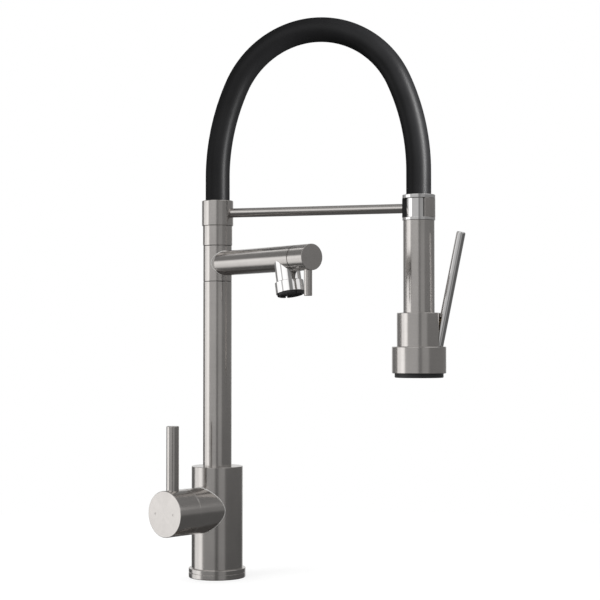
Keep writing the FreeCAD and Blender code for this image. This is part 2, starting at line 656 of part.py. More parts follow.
def top_collar():
    pocket = COLLAR_BORE_RADIUS
    outline = [(RING_RUNNING_RADIUS, COLLAR_BOTTOM), (COLLAR_RADIUS - EDGE, COLLAR_BOTTOM),
               (COLLAR_RADIUS, COLLAR_BOTTOM + EDGE), (COLLAR_RADIUS, COLLAR_TOP - EDGE),
               (COLLAR_RADIUS - EDGE, COLLAR_TOP), (pocket, COLLAR_TOP), (pocket, COLLAR_SEAT),
               (RING_RUNNING_RADIUS, COLLAR_SEAT)]
    rod_seat = move(along_x(rod(ROD_RADIUS + SEATED, COLLAR_RADIUS - ROD_SEAT, FAR)), z=ROD_HEIGHT)
    return without(turned(outline), rod_seat)


def riser_fitting():
    """Passes the water from the spigot up into the inner hose."""
    nose = SPIGOT_BORE_RADIUS - RUNNING
    barb = INNER_HOSE_BORE_RADIUS - SEATED
    disc = COLLAR_BORE_RADIUS - SEATED
    outline = [(BARB_BORE_RADIUS, RISER_BOTTOM - SPIGOT_TOP - BARB_LENGTH / 2),
               (nose, RISER_BOTTOM - SPIGOT_TOP - BARB_LENGTH / 2), (nose, RISER_BOTTOM),
               (disc, RISER_BOTTOM), (disc, HOSE_START), (barb, HOSE_START),
               (barb, HOSE_START + BARB_LENGTH), (BARB_BORE_RADIUS, HOSE_START + BARB_LENGTH)]
    return turned(outline)


# ---------------------------------------------------------------- spout, in the arm's frame
def spout_arm():
    """The swivel ring, with the arm brazed into its side and bored for the outlet valve."""
    hub = move(rod(COLUMN_RADIUS, RING_BOTTOM, RING_TOP), z=-ARM_HEIGHT)
    arm = along_x(rod(ARM_RADIUS, 0, ARM_SEAM_REACH))
    hub_bore = rod(RING_RUNNING_RADIUS, -FAR, FAR)
    feed = along_x(rod(ARM_PORT_RADIUS, 0, NECK_REACH))
    arm_bore = along_x(rod(ARM_BORE_RADIUS, COLUMN_RADIUS + ARM_RADIUS / 2, FAR))
    drop = at_outlet(rod(NECK_BORE_RADIUS, -FAR, 0))
    return at_spout(without(joined([hub, arm]), hub_bore, feed, arm_bore, drop))


def outlet_neck():
    tube = at_outlet(ring(NECK_RADIUS, NECK_BORE_RADIUS, -NECK_LENGTH, 0))
    arm = along_x(rod(ARM_RADIUS, 0, FAR))
    return at_spout(tube.cut(arm).removeSplitter())


def aerator_ring():
    top = -AERATOR_START
    bottom = top - AERATOR_HEIGHT
    thread = NECK_RADIUS + SEATED
    seat = INSERT_RADIUS + SEATED
    outline = [(thread, top), (AERATOR_RADIUS - EDGE, top), (AERATOR_RADIUS, top - EDGE),
               (AERATOR_RADIUS, bottom + EDGE), (AERATOR_RADIUS - EDGE, bottom), (seat, bottom),
               (seat, top - AERATOR_GRIP), (thread, top - AERATOR_GRIP)]
    return at_spout(at_outlet(turned(outline)))


def aerator_seal():
    return at_spout(at_outlet(ring(NECK_RADIUS, NECK_BORE_RADIUS, -NECK_LENGTH - AERATOR_SEAL, -NECK_LENGTH)))


def aerator_insert():
    """Black nozzle with a dished, spoked middle, and notches for a key."""
    top = -NECK_LENGTH - AERATOR_SEAL
    bottom = -AERATOR_START - AERATOR_HEIGHT - INSERT_PROUD
    bowl = INSERT_RADIUS - INSERT_RIM
    blank = chamfered(INSERT_RADIUS, bottom, top, EDGE)
    dish = rod(bowl, bottom - 1, bottom + INSERT_DISH)
    notch = block((bowl - EDGE, -INSERT_NOTCH_WIDTH / 2, bottom - 1),
                  (INSERT_RADIUS + 1, INSERT_NOTCH_WIDTH / 2, bottom + INSERT_DISH))
    half_spoke = math.degrees(INSERT_SPOKE / 2 / bowl)
    window = sector(bowl - EDGE, INSERT_HUB_RADIUS, bottom, top + 1,
                    half_spoke, 360 / INSERT_SPOKES - half_spoke)
    notches = around(notch, INSERT_NOTCHES, 45.0)
    return at_spout(at_outlet(without(blank, dish, *notches, *around(window, INSERT_SPOKES))))


def spout_valve():
    """Quarter-turn valve body in the end of the arm, open at its side to the outlet."""
    front = ARM_SEAM_REACH - SPOUT_VALVE_RECESS
    back = front - SPOUT_VALVE_LENGTH
    outer = ARM_BORE_RADIUS - SEATED
    body = along_x(rod(outer, back, front))
    way_in = along_x(rod(ARM_PORT_RADIUS, back - 1, NECK_REACH))
    spindle_bore = along_x(rod(SPINDLE_RADIUS + RUNNING, NECK_REACH - SPINDLE_RADIUS, FAR))
    way_out = at_outlet(rod(ARM_PORT_RADIUS, -FAR, 0))
    return at_spout(without(body, way_in, spindle_bore, way_out))


# ---------------------------------------------------------------- spout knob, in the arm's frame
def knob_spindle():
    start = NECK_REACH - SPINDLE_RADIUS + SEATED
    bar = along_x(rod(SPINDLE_RADIUS, start, ARM_SEAM_REACH + PASSING + KNOB_GRIP))
    port = move(along_y(rod(SPINDLE_PORT_RADIUS, -FAR, FAR)), x=NECK_REACH + SPINDLE_RADIUS)
    return at_spout(without(bar, port))


def knob_cap():
    start = ARM_SEAM_REACH + PASSING
    end = ARM_SEAM_REACH + KNOB_LENGTH
    blank = along_x(chamfered(ARM_RADIUS, start, end, 0, EDGE))
    spindle_hole = along_x(rod(SPINDLE_RADIUS + SEATED, 0, start + KNOB_GRIP))
    pin_hole = move(rod(KNOB_PIN_RADIUS + SEATED, -FAR, KNOB_PIN_SEAT - ARM_RADIUS), x=KNOB_PIN_REACH)
    grub_hole = move(rod(KNOB_GRUB_RADIUS + SEATED, 0, FAR), x=start + KNOB_GRIP / 2)
    return at_spout(without(blank, spindle_hole, pin_hole, grub_hole))


def knob_pin():
    bar = chamfered(KNOB_PIN_RADIUS, -KNOB_PIN_DROP, KNOB_PIN_SEAT - ARM_RADIUS, EDGE)
    return at_spout(move(bar, x=KNOB_PIN_REACH))


def knob_grub_screw():
    screw = hex_grub(KNOB_GRUB_RADIUS, -SPINDLE_RADIUS - GRUB_LENGTH, -SPINDLE_RADIUS)
    screw = turn(screw, V(1, 0, 0), 180)
    return at_spout(move(screw, x=ARM_SEAM_REACH + PASSING + KNOB_GRIP / 2))


# ---------------------------------------------------------------- hose
def hose_radii():
    """The radius of the hose's shoulders, which joins its crown to its upright ends, and where they start."""
    crown = math.radians(HOSE_CROWN_ANGLE)
    half_span = REACH / 2
    shoulder = (half_span - HOSE_CROWN_RADIUS * math.sin(crown)) / (1 - math.sin(crown))
    upright_top = HOSE_APEX - HOSE_CROWN_RADIUS * (1 - math.cos(crown)) - shoulder * math.cos(crown)
    return shoulder, upright_top


def hose_path(start, end):
    """Up from the collar, over the arch and down into the spray, as lines and tangent arcs."""
    crown = math.radians(HOSE_CROWN_ANGLE)
    half_span = REACH / 2
    shoulder, upright_top = hose_radii()

    def shoulder_point(angle):
        return V(shoulder * (1 - math.cos(angle)), 0, upright_top + shoulder * math.sin(angle))

    bend = math.pi / 2 - crown
    left = [V(0, 0, start), V(0, 0, upright_top), shoulder_point(bend / 2), shoulder_point(bend)]
    right = [V(REACH - p.x, 0, p.z) for p in left]
    right[0] = V(REACH, 0, end)
    apex = V(half_span, 0, HOSE_APEX)
    edges = [Part.LineSegment(left[0], left[1]), Part.Arc(left[1], left[2], left[3]),
             Part.Arc(left[3], apex, right[3]), Part.Arc(right[3], right[2], right[1]),
             Part.LineSegment(right[1], right[0])]
    return Part.Wire([edge.toShape() for edge in edges])


def hose(outer, inner, start, end):
    path = hose_path(start, end)
    solids = []
    for radius, overrun in ((outer, 0), (inner, 1)):
        circle = Part.Wire(Part.makeCircle(radius, V(0, 0, start - overrun), V(0, 0, 1)))
        swept = hose_path(start - overrun, end - overrun).makePipeShell([circle], True, False)
        solids.append(swept)
    tube = solids[0].cut(solids[1])
    expected = math.pi * (outer ** 2 - inner ** 2) * path.Length
    print("hose r%.1f: length %.1f mm, volume %.4f of section times length"
          % (outer, path.Length, tube.Volume / expected))
    return tube


def hose_sleeve():
    return hose(HOSE_RADIUS, HOSE_BORE_RADIUS, HOSE_START, HOSE_END)


def inner_hose():
    return hose(INNER_HOSE_RADIUS, INNER_HOSE_BORE_RADIUS, HOSE_START, HOSE_END)


def ferrule(bottom):
    inner = INNER_HOSE_RADIUS + SEATED
    return ring(inner + FERRULE_WALL, inner, bottom, bottom + FERRULE_LENGTH)


def hose_ferrule():
    return ferrule(HOSE_START)


def hose_end_ferrule():
    return at_spray(ferrule(HOSE_END))


# ---------------------------------------------------------------- support rod and dock
def support_rod():
    """Round bar, its far end coped to sit on the clip and tapped for the clip's screw."""
    start = COLLAR_RADIUS - ROD_SEAT + SEATED
    end = REACH - DOCK_FLANGE_RADIUS
    bar = move(along_x(rod(ROD_RADIUS, start, REACH)), z=ROD_HEIGHT)
    tapping = rod(CLIP_SCREW_RADIUS + SEATED, end - CLIP_SCREW_LENGTH - SEATED, end + 1)
    tapping = move(along_x(tapping), z=ROD_HEIGHT)
    saddle = at_spray(rod(DOCK_FLANGE_RADIUS + SEATED, SPOOL_BOTTOM, SPOOL_TOP))
    return without(bar, saddle, tapping)


def dock_sector(outer, inner, start, end):
    bottom = NECK_BOTTOM + SEATED
    top = NECK_TOP - SEATED
    return sector(outer, inner, bottom, top, start, end)


def screw_hole(radius):
    return move(along_x(rod(radius, -FAR, 0)), z=ROD_HEIGHT)


def dock_clip():
    shell = dock_sector(DOCK_FLANGE_RADIUS, CLIP_STEEL_RADIUS, CLIP_MOUTH_START, CLIP_STEEL_END)
    return at_spray(without(shell, screw_hole(CLIP_SCREW_RADIUS + SEATED)))


def dock_liner():
    """Nylon jaw inside the steel clip, showing as one full-thickness tip."""
    jaw = dock_sector(CLIP_STEEL_RADIUS - SEATED, CLIP_INNER_RADIUS, CLIP_MOUTH_START, CLIP_MOUTH_END)
    seam = math.degrees(SEATED / CLIP_STEEL_RADIUS)
    tip = dock_sector(DOCK_FLANGE_RADIUS, CLIP_INNER_RADIUS, CLIP_STEEL_END + seam, CLIP_MOUTH_END)
    return at_spray(without(joined([jaw, tip]), screw_hole(CLIP_SCREW_HEAD + SEATED)))


def clip_screw():
    """Flat-headed screw through the clip into the end of the rod. Its head is sunk in the liner."""
    face = -CLIP_INNER_RADIUS - PASSING
    seat = SEATED - math.sqrt(CLIP_STEEL_RADIUS ** 2 - CLIP_SCREW_HEAD ** 2)
    head = rod(CLIP_SCREW_HEAD, seat, face)
    shank = rod(CLIP_SCREW_RADIUS, -DOCK_FLANGE_RADIUS - CLIP_SCREW_LENGTH, face)
    return at_spray(move(along_x(joined([head, shank])), z=ROD_HEIGHT))


# ---------------------------------------------------------------- end of the hose
def hose_end_fitting():
    """Barbed tail of the hose, with the disc that the spray swivels on."""
    barb = INNER_HOSE_BORE_RADIUS - SEATED
    disc_bottom = SWIVEL_SEAT + RUNNING
    disc_top = disc_bottom + SWIVEL_DISC
    outline = [(BARB_BORE_RADIUS, disc_bottom - SWIVEL_STEM_LENGTH),
               (SWIVEL_STEM_RADIUS, disc_bottom - SWIVEL_STEM_LENGTH), (SWIVEL_STEM_RADIUS, disc_bottom),
               (SWIVEL_POCKET_RADIUS - RUNNING, disc_bottom), (SWIVEL_POCKET_RADIUS - RUNNING, disc_top),
               (INNER_HOSE_RADIUS, disc_top), (INNER_HOSE_RADIUS, HOSE_END), (barb, HOSE_END),
               (barb, HOSE_END + BARB_LENGTH), (BARB_BORE_RADIUS, HOSE_END + BARB_LENGTH)]
    return at_spray(turned(outline))


# ---------------------------------------------------------------- spray, in its own axis
def dock_spool():
    """Polished spool that the clip grips, bored for the hose's swivel."""
    socket = HOSE_RADIUS + PASSING
    stem_bore = SWIVEL_STEM_RADIUS + RUNNING
    spigot = GRIP_BORE_RADIUS - SEATED
    outline = [(stem_bore, SPOOL_BOTTOM - DOCK_SPIGOT), (spigot, SPOOL_BOTTOM - DOCK_SPIGOT),
               (spigot, SPOOL_BOTTOM), (DOCK_FLANGE_RADIUS, SPOOL_BOTTOM),
               (DOCK_FLANGE_RADIUS, NECK_BOTTOM - EDGE / 2), (DOCK_FLANGE_RADIUS - EDGE / 2, NECK_BOTTOM),
               (DOCK_NECK_RADIUS, NECK_BOTTOM), (DOCK_NECK_RADIUS, NECK_TOP),
               (DOCK_FLANGE_RADIUS - EDGE / 2, NECK_TOP), (DOCK_FLANGE_RADIUS, NECK_TOP + EDGE / 2),
               (DOCK_FLANGE_RADIUS, SPOOL_TOP - EDGE), (DOCK_FLANGE_RADIUS - EDGE, SPOOL_TOP),
               (socket, SPOOL_TOP), (socket, SPOOL_TOP - HOSE_SOCKET),
               (SWIVEL_POCKET_RADIUS, SPOOL_TOP - HOSE_SOCKET), (SWIVEL_POCKET_RADIUS, SWIVEL_SEAT),
               (stem_bore, SWIVEL_SEAT)]
    return at_spray(turned(outline))


def swivel_clip():
    """Open spring ring that holds the hose's disc down in the spool."""
    bottom = SWIVEL_SEAT + SWIVEL_DISC + 2 * RUNNING
    inner = INNER_HOSE_RADIUS + PASSING
    return at_spray(sector(SWIVEL_POCKET_RADIUS - SEATED, inner, bottom, bottom + CIRCLIP_THICKNESS, 20, 340))


def grip_tube():
    return at_spray(ring(GRIP_RADIUS, GRIP_BORE_RADIUS, GRIP_BOTTOM, SPOOL_BOTTOM))


def lever_way(bottom, top):
    """The slot that the spray lever moves in, out through the spray's side."""
    half = LEVER_SLOT_WIDTH / 2
    return block((LEVER_SLOT_START, -half, bottom), (BELL_RADIUS - BELL_WALL, half, top))


def spray_collar():
    outline = [(SPRAY_COLLAR_RADIUS, BELL_TOP), (SPRAY_COLLAR_RADIUS, GRIP_BOTTOM - EDGE),
               (SPRAY_COLLAR_RADIUS - EDGE, GRIP_BOTTOM), (GRIP_BORE_RADIUS, GRIP_BOTTOM),
               (GRIP_BORE_RADIUS, GRIP_BOTTOM - SPRAY_COLLAR_ROOF),
               (SPRAY_COLLAR_RADIUS - SPRAY_COLLAR_WALL, GRIP_BOTTOM - SPRAY_COLLAR_ROOF),
               (SPRAY_COLLAR_RADIUS - SPRAY_COLLAR_WALL, BELL_TOP)]
    slot = lever_way(BELL_TOP - 1, GRIP_BOTTOM + 1)
    keep_roof_ring = rod(GRIP_RADIUS + PASSING, GRIP_BOTTOM - SPRAY_COLLAR_ROOF - 1, GRIP_BOTTOM + 2)
    return at_spray(without(turned(outline), slot.cut(keep_roof_ring)))


def spray_bell():
    outline = [(VALVE_CORE_RADIUS + SEATED, BELL_TOP), (BELL_RADIUS - EDGE, BELL_TOP),
               (BELL_RADIUS, BELL_TOP - EDGE), (BELL_RADIUS, BELL_BOTTOM + EDGE),
               (BELL_RADIUS - EDGE, BELL_BOTTOM), (BELL_RADIUS - BELL_WALL, BELL_BOTTOM),
               (BELL_RADIUS - BELL_WALL, BELL_TOP - BELL_ROOF),
               (VALVE_CORE_RADIUS + SEATED, BELL_TOP - BELL_ROOF)]
    return at_spray(without(turned(outline), lever_way(BELL_TOP - BELL_ROOF - 1, BELL_TOP + 1)))


def spray_valve_body():
    """Water-way from the grip to the jets, crossed by the plunger, with the lever's two ears."""
    core_bottom = BELL_BOTTOM
    plug = GRIP_BORE_RADIUS - SEATED
    plug_bottom = GRIP_BOTTOM - SPRAY_COLLAR_ROOF
    outline = [(0, core_bottom), (VALVE_CORE_RADIUS, core_bottom), (VALVE_CORE_RADIUS, plug_bottom),
               (plug, plug_bottom), (plug, GRIP_BOTTOM + VALVE_PLUG_LENGTH), (0, GRIP_BOTTOM + VALVE_PLUG_LENGTH)]
    ear_disc = move(along_y(rod(EAR_RADIUS, EAR_GAP, EAR_GAP + EAR_THICKNESS)), x=PIVOT_OFFSET, z=PIVOT_HEIGHT)
    ear_root = block((0, EAR_GAP, PIVOT_HEIGHT - EAR_RADIUS),
                     (PIVOT_OFFSET, EAR_GAP + EAR_THICKNESS, PIVOT_HEIGHT + EAR_RADIUS))
    ear = joined([ear_disc, ear_root])
    other_ear = ear.mirror(V(0, 0, 0), V(0, 1, 0))
    pivot_hole = move(along_y(rod(PIVOT_RADIUS + SEATED, -FAR, FAR)), x=PIVOT_OFFSET, z=PIVOT_HEIGHT)
    bore = move(along_x(rod(PLUNGER_RADIUS + RUNNING, -PLUNGER_TAIL, FAR)), z=PLUNGER_HEIGHT)
    pocket = move(along_x(rod(SPRING_POCKET_RADIUS, -SPRING_POCKET_END, -PLUNGER_TAIL)), z=PLUNGER_HEIGHT)
    way = rod(VALVE_PORT_RADIUS, core_bottom - 1, GRIP_BOTTOM + VALVE_PLUG_LENGTH + 1)
    funnel = rod(VALVE_CORE_RADIUS / 2, core_bottom - 1, PIVOT_HEIGHT)
    seal_groove = oring_groove(plug, GRIP_BOTTOM + VALVE_PLUG_LENGTH / 2)
    body = joined([turned(outline), ear, other_ear])
    return at_spray(without(body, pivot_hole, bore, pocket, way, funnel, seal_groove))


def spray_face():
    """Black nozzle plate with two rings of jets, screwed on to the valve body inside the bell."""
    skirt = FACE_RADIUS - FACE_SKIRT_WALL
    hub = VALVE_CORE_RADIUS + SEATED
    plate_top = FACE_BOTTOM + FACE_PLATE
    top = BELL_BOTTOM + FACE_SKIRT
    outline = [(0, FACE_BOTTOM), (FACE_RADIUS - EDGE, FACE_BOTTOM), (FACE_RADIUS, FACE_BOTTOM + EDGE),
               (FACE_RADIUS, top), (skirt, top), (skirt, plate_top), (hub + FACE_SKIRT_WALL, plate_top),
               (hub + FACE_SKIRT_WALL, top), (hub, top), (hub, BELL_BOTTOM), (hub - 2 * EDGE, plate_top),
               (0, plate_top)]
    jets = []
    for ring_radius, count in JET_RINGS:
        jet = move(rod(JET_RADIUS, FACE_BOTTOM - 1, plate_top + 1), x=ring_radius)
        jets += around(jet, count)
    return at_spray(without(turned(outline), *jets))


def spray_oring():
    return at_spray(oring(GRIP_BORE_RADIUS - SEATED, GRIP_BOTTOM + VALVE_PLUG_LENGTH / 2))


def trigger_pivot_pin():
    half = EAR_GAP + EAR_THICKNESS
    return at_spray(move(along_y(rod(PIVOT_RADIUS, -half, half)), x=PIVOT_OFFSET, z=PIVOT_HEIGHT))


def spray_lever():
    """Round lever bar. Its foot is flattened between the ears."""
    bar = chamfered(TRIGGER_RADIUS, -TRIGGER_FOOT, TRIGGER_LENGTH, 2 * EDGE, EDGE)
    flats = [block((-FAR, TRIGGER_FOOT_FLAT, -FAR), (FAR, FAR, EAR_RADIUS)),
             block((-FAR, -FAR, -FAR), (FAR, -TRIGGER_FOOT_FLAT, EAR_RADIUS))]
    eye = along_y(rod(PIVOT_RADIUS + RUNNING, -FAR, FAR))
    leaning = turn(without(bar, eye, *flats), V(0, 1, 0), TRIGGER_LEAN)
    return at_spray(move(leaning, x=PIVOT_OFFSET, z=PIVOT_HEIGHT))


def plunger_reach():
    """From the spray's axis to the released lever's inner side, where the plunger's nose meets it."""
    lean = math.radians(TRIGGER_LEAN)
    height = PLUNGER_RISE - PLUNGER_NOSE_RADIUS
    return PIVOT_OFFSET + height * math.tan(lean) - TRIGGER_RADIUS / math.cos(lean) - RUNNING


def valve_plunger():
    """Sliding valve stem. Its waist lets water past when the lever pushes it in."""
    waist_end = PLUNGER_WAIST_START + PLUNGER_WAIST_LENGTH
    reach = plunger_reach()
    outline = [(0, -PLUNGER_TAIL), (PLUNGER_RADIUS, -PLUNGER_TAIL), (PLUNGER_RADIUS, PLUNGER_WAIST_START),
               (PLUNGER_WAIST_RADIUS, PLUNGER_WAIST_START), (PLUNGER_WAIST_RADIUS, waist_end),
               (PLUNGER_RADIUS, waist_end), (PLUNGER_RADIUS, PLUNGER_BUTTON_START),
               (PLUNGER_BUTTON_RADIUS, PLUNGER_BUTTON_START), (PLUNGER_BUTTON_RADIUS, reach - 2 * EDGE),
               (PLUNGER_NOSE_RADIUS, reach), (0, reach)]
    return at_spray(move(along_x(turned(outline)), z=PLUNGER_HEIGHT))


def plunger_spring():
    start = -SPRING_POCKET_END + SPRING_WIRE_RADIUS + SEATED
    end = -PLUNGER_TAIL - SPRING_WIRE_RADIUS - SEATED
    pitch = (end - start) / SPRING_TURNS
    helix = Part.makeHelix(pitch, end - start, SPRING_RADIUS)
    wire = Part.Wire(Part.makeCircle(SPRING_WIRE_RADIUS, V(SPRING_RADIUS, 0, 0), V(0, 1, 0)))
    coil = Part.Wire(helix.Edges).makePipeShell([wire], True, True)
    return at_spray(move(along_x(coil), x=start, z=PLUNGER_HEIGHT))


# ---------------------------------------------------------------- writing
NODES = (base_flange, deck_gasket, mounting_shank, clamp_seal, clamp_washer, fixing_nut, tap_body,
         valve_barrel, column_tube, cartridge_seals, cartridge_housing, fixed_disc, moving_disc,
         cartridge_turner, cartridge_pin, cartridge_lever, cartridge_retainer, handle_cap, handle_pin,
         handle_grub_screw, swivel_spigot, swivel_orings, slip_washers, swivel_circlip, upper_sleeve,
         top_collar, riser_fitting, spout_arm, outlet_neck, aerator_ring, aerator_seal, aerator_insert,
         spout_valve, knob_spindle, knob_cap, knob_pin, knob_grub_screw, hose_sleeve, inner_hose,
         hose_ferrule, hose_end_ferrule, support_rod, dock_clip, dock_liner, clip_screw,
         hose_end_fitting, dock_spool, swivel_clip, grip_tube, spray_collar, spray_bell,
         spray_valve_body, spray_face, spray_oring, trigger_pivot_pin, spray_lever, valve_plunger,
         plunger_spring)


def main():
    os.makedirs("parts", exist_ok=True)
    for make in NODES:
        shape = make()
        if not shape.isValid() or shape.Volume <= 0:
            print("not a valid solid:", make.__name__)
        shape.exportStep("parts/%s.step" % make.__name__)
    print(len(NODES), "nodes written")


main()
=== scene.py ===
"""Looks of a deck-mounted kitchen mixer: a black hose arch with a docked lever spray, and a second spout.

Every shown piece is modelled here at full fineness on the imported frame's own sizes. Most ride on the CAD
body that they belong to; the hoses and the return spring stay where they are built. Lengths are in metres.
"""

import json
import math

import bmesh
import bpy
import numpy as np
from mathutils import Matrix, Vector


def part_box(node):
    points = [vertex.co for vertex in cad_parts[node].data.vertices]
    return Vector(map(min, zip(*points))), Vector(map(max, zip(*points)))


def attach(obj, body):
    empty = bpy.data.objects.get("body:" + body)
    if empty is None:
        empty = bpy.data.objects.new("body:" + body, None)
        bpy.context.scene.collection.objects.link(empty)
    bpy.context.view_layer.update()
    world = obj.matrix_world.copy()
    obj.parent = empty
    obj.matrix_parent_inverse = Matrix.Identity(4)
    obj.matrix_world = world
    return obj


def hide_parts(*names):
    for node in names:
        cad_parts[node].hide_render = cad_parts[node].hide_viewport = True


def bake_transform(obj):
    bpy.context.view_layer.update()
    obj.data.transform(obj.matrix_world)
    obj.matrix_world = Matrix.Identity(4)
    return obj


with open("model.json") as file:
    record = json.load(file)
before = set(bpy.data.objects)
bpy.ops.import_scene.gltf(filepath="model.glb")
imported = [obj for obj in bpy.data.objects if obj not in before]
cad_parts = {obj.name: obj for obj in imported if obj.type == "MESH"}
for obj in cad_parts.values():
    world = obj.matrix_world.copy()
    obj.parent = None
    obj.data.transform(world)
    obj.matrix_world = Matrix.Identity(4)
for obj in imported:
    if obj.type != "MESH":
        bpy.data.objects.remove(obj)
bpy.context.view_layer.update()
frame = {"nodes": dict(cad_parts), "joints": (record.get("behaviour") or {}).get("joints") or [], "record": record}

MM = 0.001
UP = Vector((0, 0, 1))
ORIGIN = Vector((0, 0, 0))
JOINTS = {joint["name"]: joint for joint in frame["joints"]}

# ------------------------------------------------------------------ camera and studio
CAMERA_AT = Vector((0.5211, -1.4281, 0.2287))
CAMERA_HEADING = 17.0       # degrees left of +Y
CAMERA_PITCH = 1.55
CAMERA_LENS = 93.0
CAMERA_SENSOR = 36.0
FLOOR_RADIUS = 0.62
FLOOR_GLOW = 0.76

# The studio as the metal reflects it: a plain room with soft boxes placed round it. Each box has the
# heading of its middle in degrees from +X, its half width, its lowest and highest elevation, and its
# brightness.
SOFT_BOXES = [
    (-165, 25, -30, 10, 1.0),       # window on the left
    (-120, 40, -10, 20, 0.3),       # pale wall in front
    (-105, 25, 10, 45, 0.8),        # box over the front wall
    (-50, 15, -15, 5, 0.2),         # faint fill on the right
    (-15, 35, 15, 50, 0.7),         # high box on the right
    (105, 25, -15, 25, 0.6),        # strip behind
    (145, 10, 10, 40, 1.0),         # high strip behind, on the left
]
FLOOR_LEVEL = 0.12
ROOM_LEVEL = 0.25
CEILING_LEVEL = 0.5
BOX_BLUR = 8                # degrees over which a box's edge fades
DIFFUSE_LEVEL = 0.62
WHITE = (1, 1, 1, 1)

# ------------------------------------------------------------------ fineness
AROUND = 192                # sides of a turned piece
CORNER_STEPS = 5            # faces across a rounded corner
SMOOTH_ANGLE = 32.0         # corners of a profile under this many degrees shade as one surface


# ================================================================== frame helpers
def vertices(node):
    mesh = frame["nodes"][node].data
    points = np.empty(len(mesh.vertices) * 3)
    mesh.vertices.foreach_get("co", points)
    return points.reshape(-1, 3)


def span(node, origin, axis):
    """How far a node reaches along an axis, as (low, high)."""
    along = (vertices(node) - np.array(origin)) @ np.array(axis)
    return float(along.min()), float(along.max())


def radii(node, origin, axis, low=-math.inf, high=math.inf):
    """A node's smallest and largest distance from an axis, between two stations on it."""
    offset = vertices(node) - np.array(origin)
    along = offset @ np.array(axis)
    away = np.linalg.norm(offset - np.outer(along, np.array(axis)), axis=1)
    away = away[(along >= low) & (along <= high)]
    return float(away.min()), float(away.max())


def heights(node):
    low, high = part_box(node)
    return low.z, high.z


def hose_sizes():
    """The black hose's bore and outer radius, from its foot at the column."""
    low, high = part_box("hose_sleeve")
    return radii("hose_sleeve", ORIGIN, UP, -1, low.z + MM)[0], high.y


def joint_point(name):
    return Vector(JOINTS[name]["pos_m"])


def joint_axis(name):
    return Vector(JOINTS[name]["axis"]).normalized()


def axis_frame(origin, axis, reference=UP):
    """A matrix that takes local Z to an axis through a point, with local X near the reference."""
    z = Vector(axis).normalized()
    x = Vector(reference) - z * Vector(reference).dot(z)
    if x.length < 1e-6:
        x = Vector((1, 0, 0)) - z * z.x
    x.normalize()
    y = z.cross(x)
    matrix = Matrix((x, y, z)).transposed().to_4x4()
    matrix.translation = Vector(origin)
    return matrix


def middle(box):
    return (box[0] + box[1]) / 2


def upright_at(point):
    """A matrix that stands local Z on a point of the worktop."""
    return Matrix.Translation((point.x, point.y, 0))


def linked_piece(name, mesh, smooth=False):
    """Turns a bmesh into an object of the scene."""
    data = bpy.data.meshes.new(name)
    mesh.to_mesh(data)
    mesh.free()
    if smooth:
        data.polygons.foreach_set("use_smooth", np.ones(len(data.polygons), bool))
    piece = bpy.data.objects.new(name, data)
    bpy.context.scene.collection.objects.link(piece)
    return piece


# ================================================================== turned shapes
def rounded(corners):
    """A closed outline from (radius, height, rounding) corners, each rounding a tangent arc."""
    outline = []
    count = len(corners)
    for i, corner in enumerate(corners):
        point = np.array(corner[:2], float)
        rounding = corner[2] if len(corner) > 2 else 0.0
        before = np.array(corners[i - 1][:2], float) - point
        after = np.array(corners[(i + 1) % count][:2], float) - point
        if rounding <= 0:
            outline.append(tuple(point))
            continue
        length_before = np.linalg.norm(before)
        length_after = np.linalg.norm(after)
        before /= length_before
        after /= length_after
        turn = math.acos(max(-1.0, min(1.0, float(before @ after))))
        reach = rounding / math.tan(turn / 2)
        limit = 0.49 * min(length_before, length_after)
        if reach > limit:
            rounding *= limit / reach
            reach = limit
        bisector = before + after
        bisector /= np.linalg.norm(bisector)
        centre = point + bisector * (rounding / math.sin(turn / 2))
        start = point + before * reach - centre
        end = point + after * reach - centre
        sweep = math.atan2(start[0] * end[1] - start[1] * end[0], float(start @ end))
        for step in range(CORNER_STEPS + 1):
            angle = sweep * step / CORNER_STEPS
            cos, sin = math.cos(angle), math.sin(angle)
            outline.append((centre[0] + start[0] * cos - start[1] * sin,
                            centre[1] + start[0] * sin + start[1] * cos))
    return outline


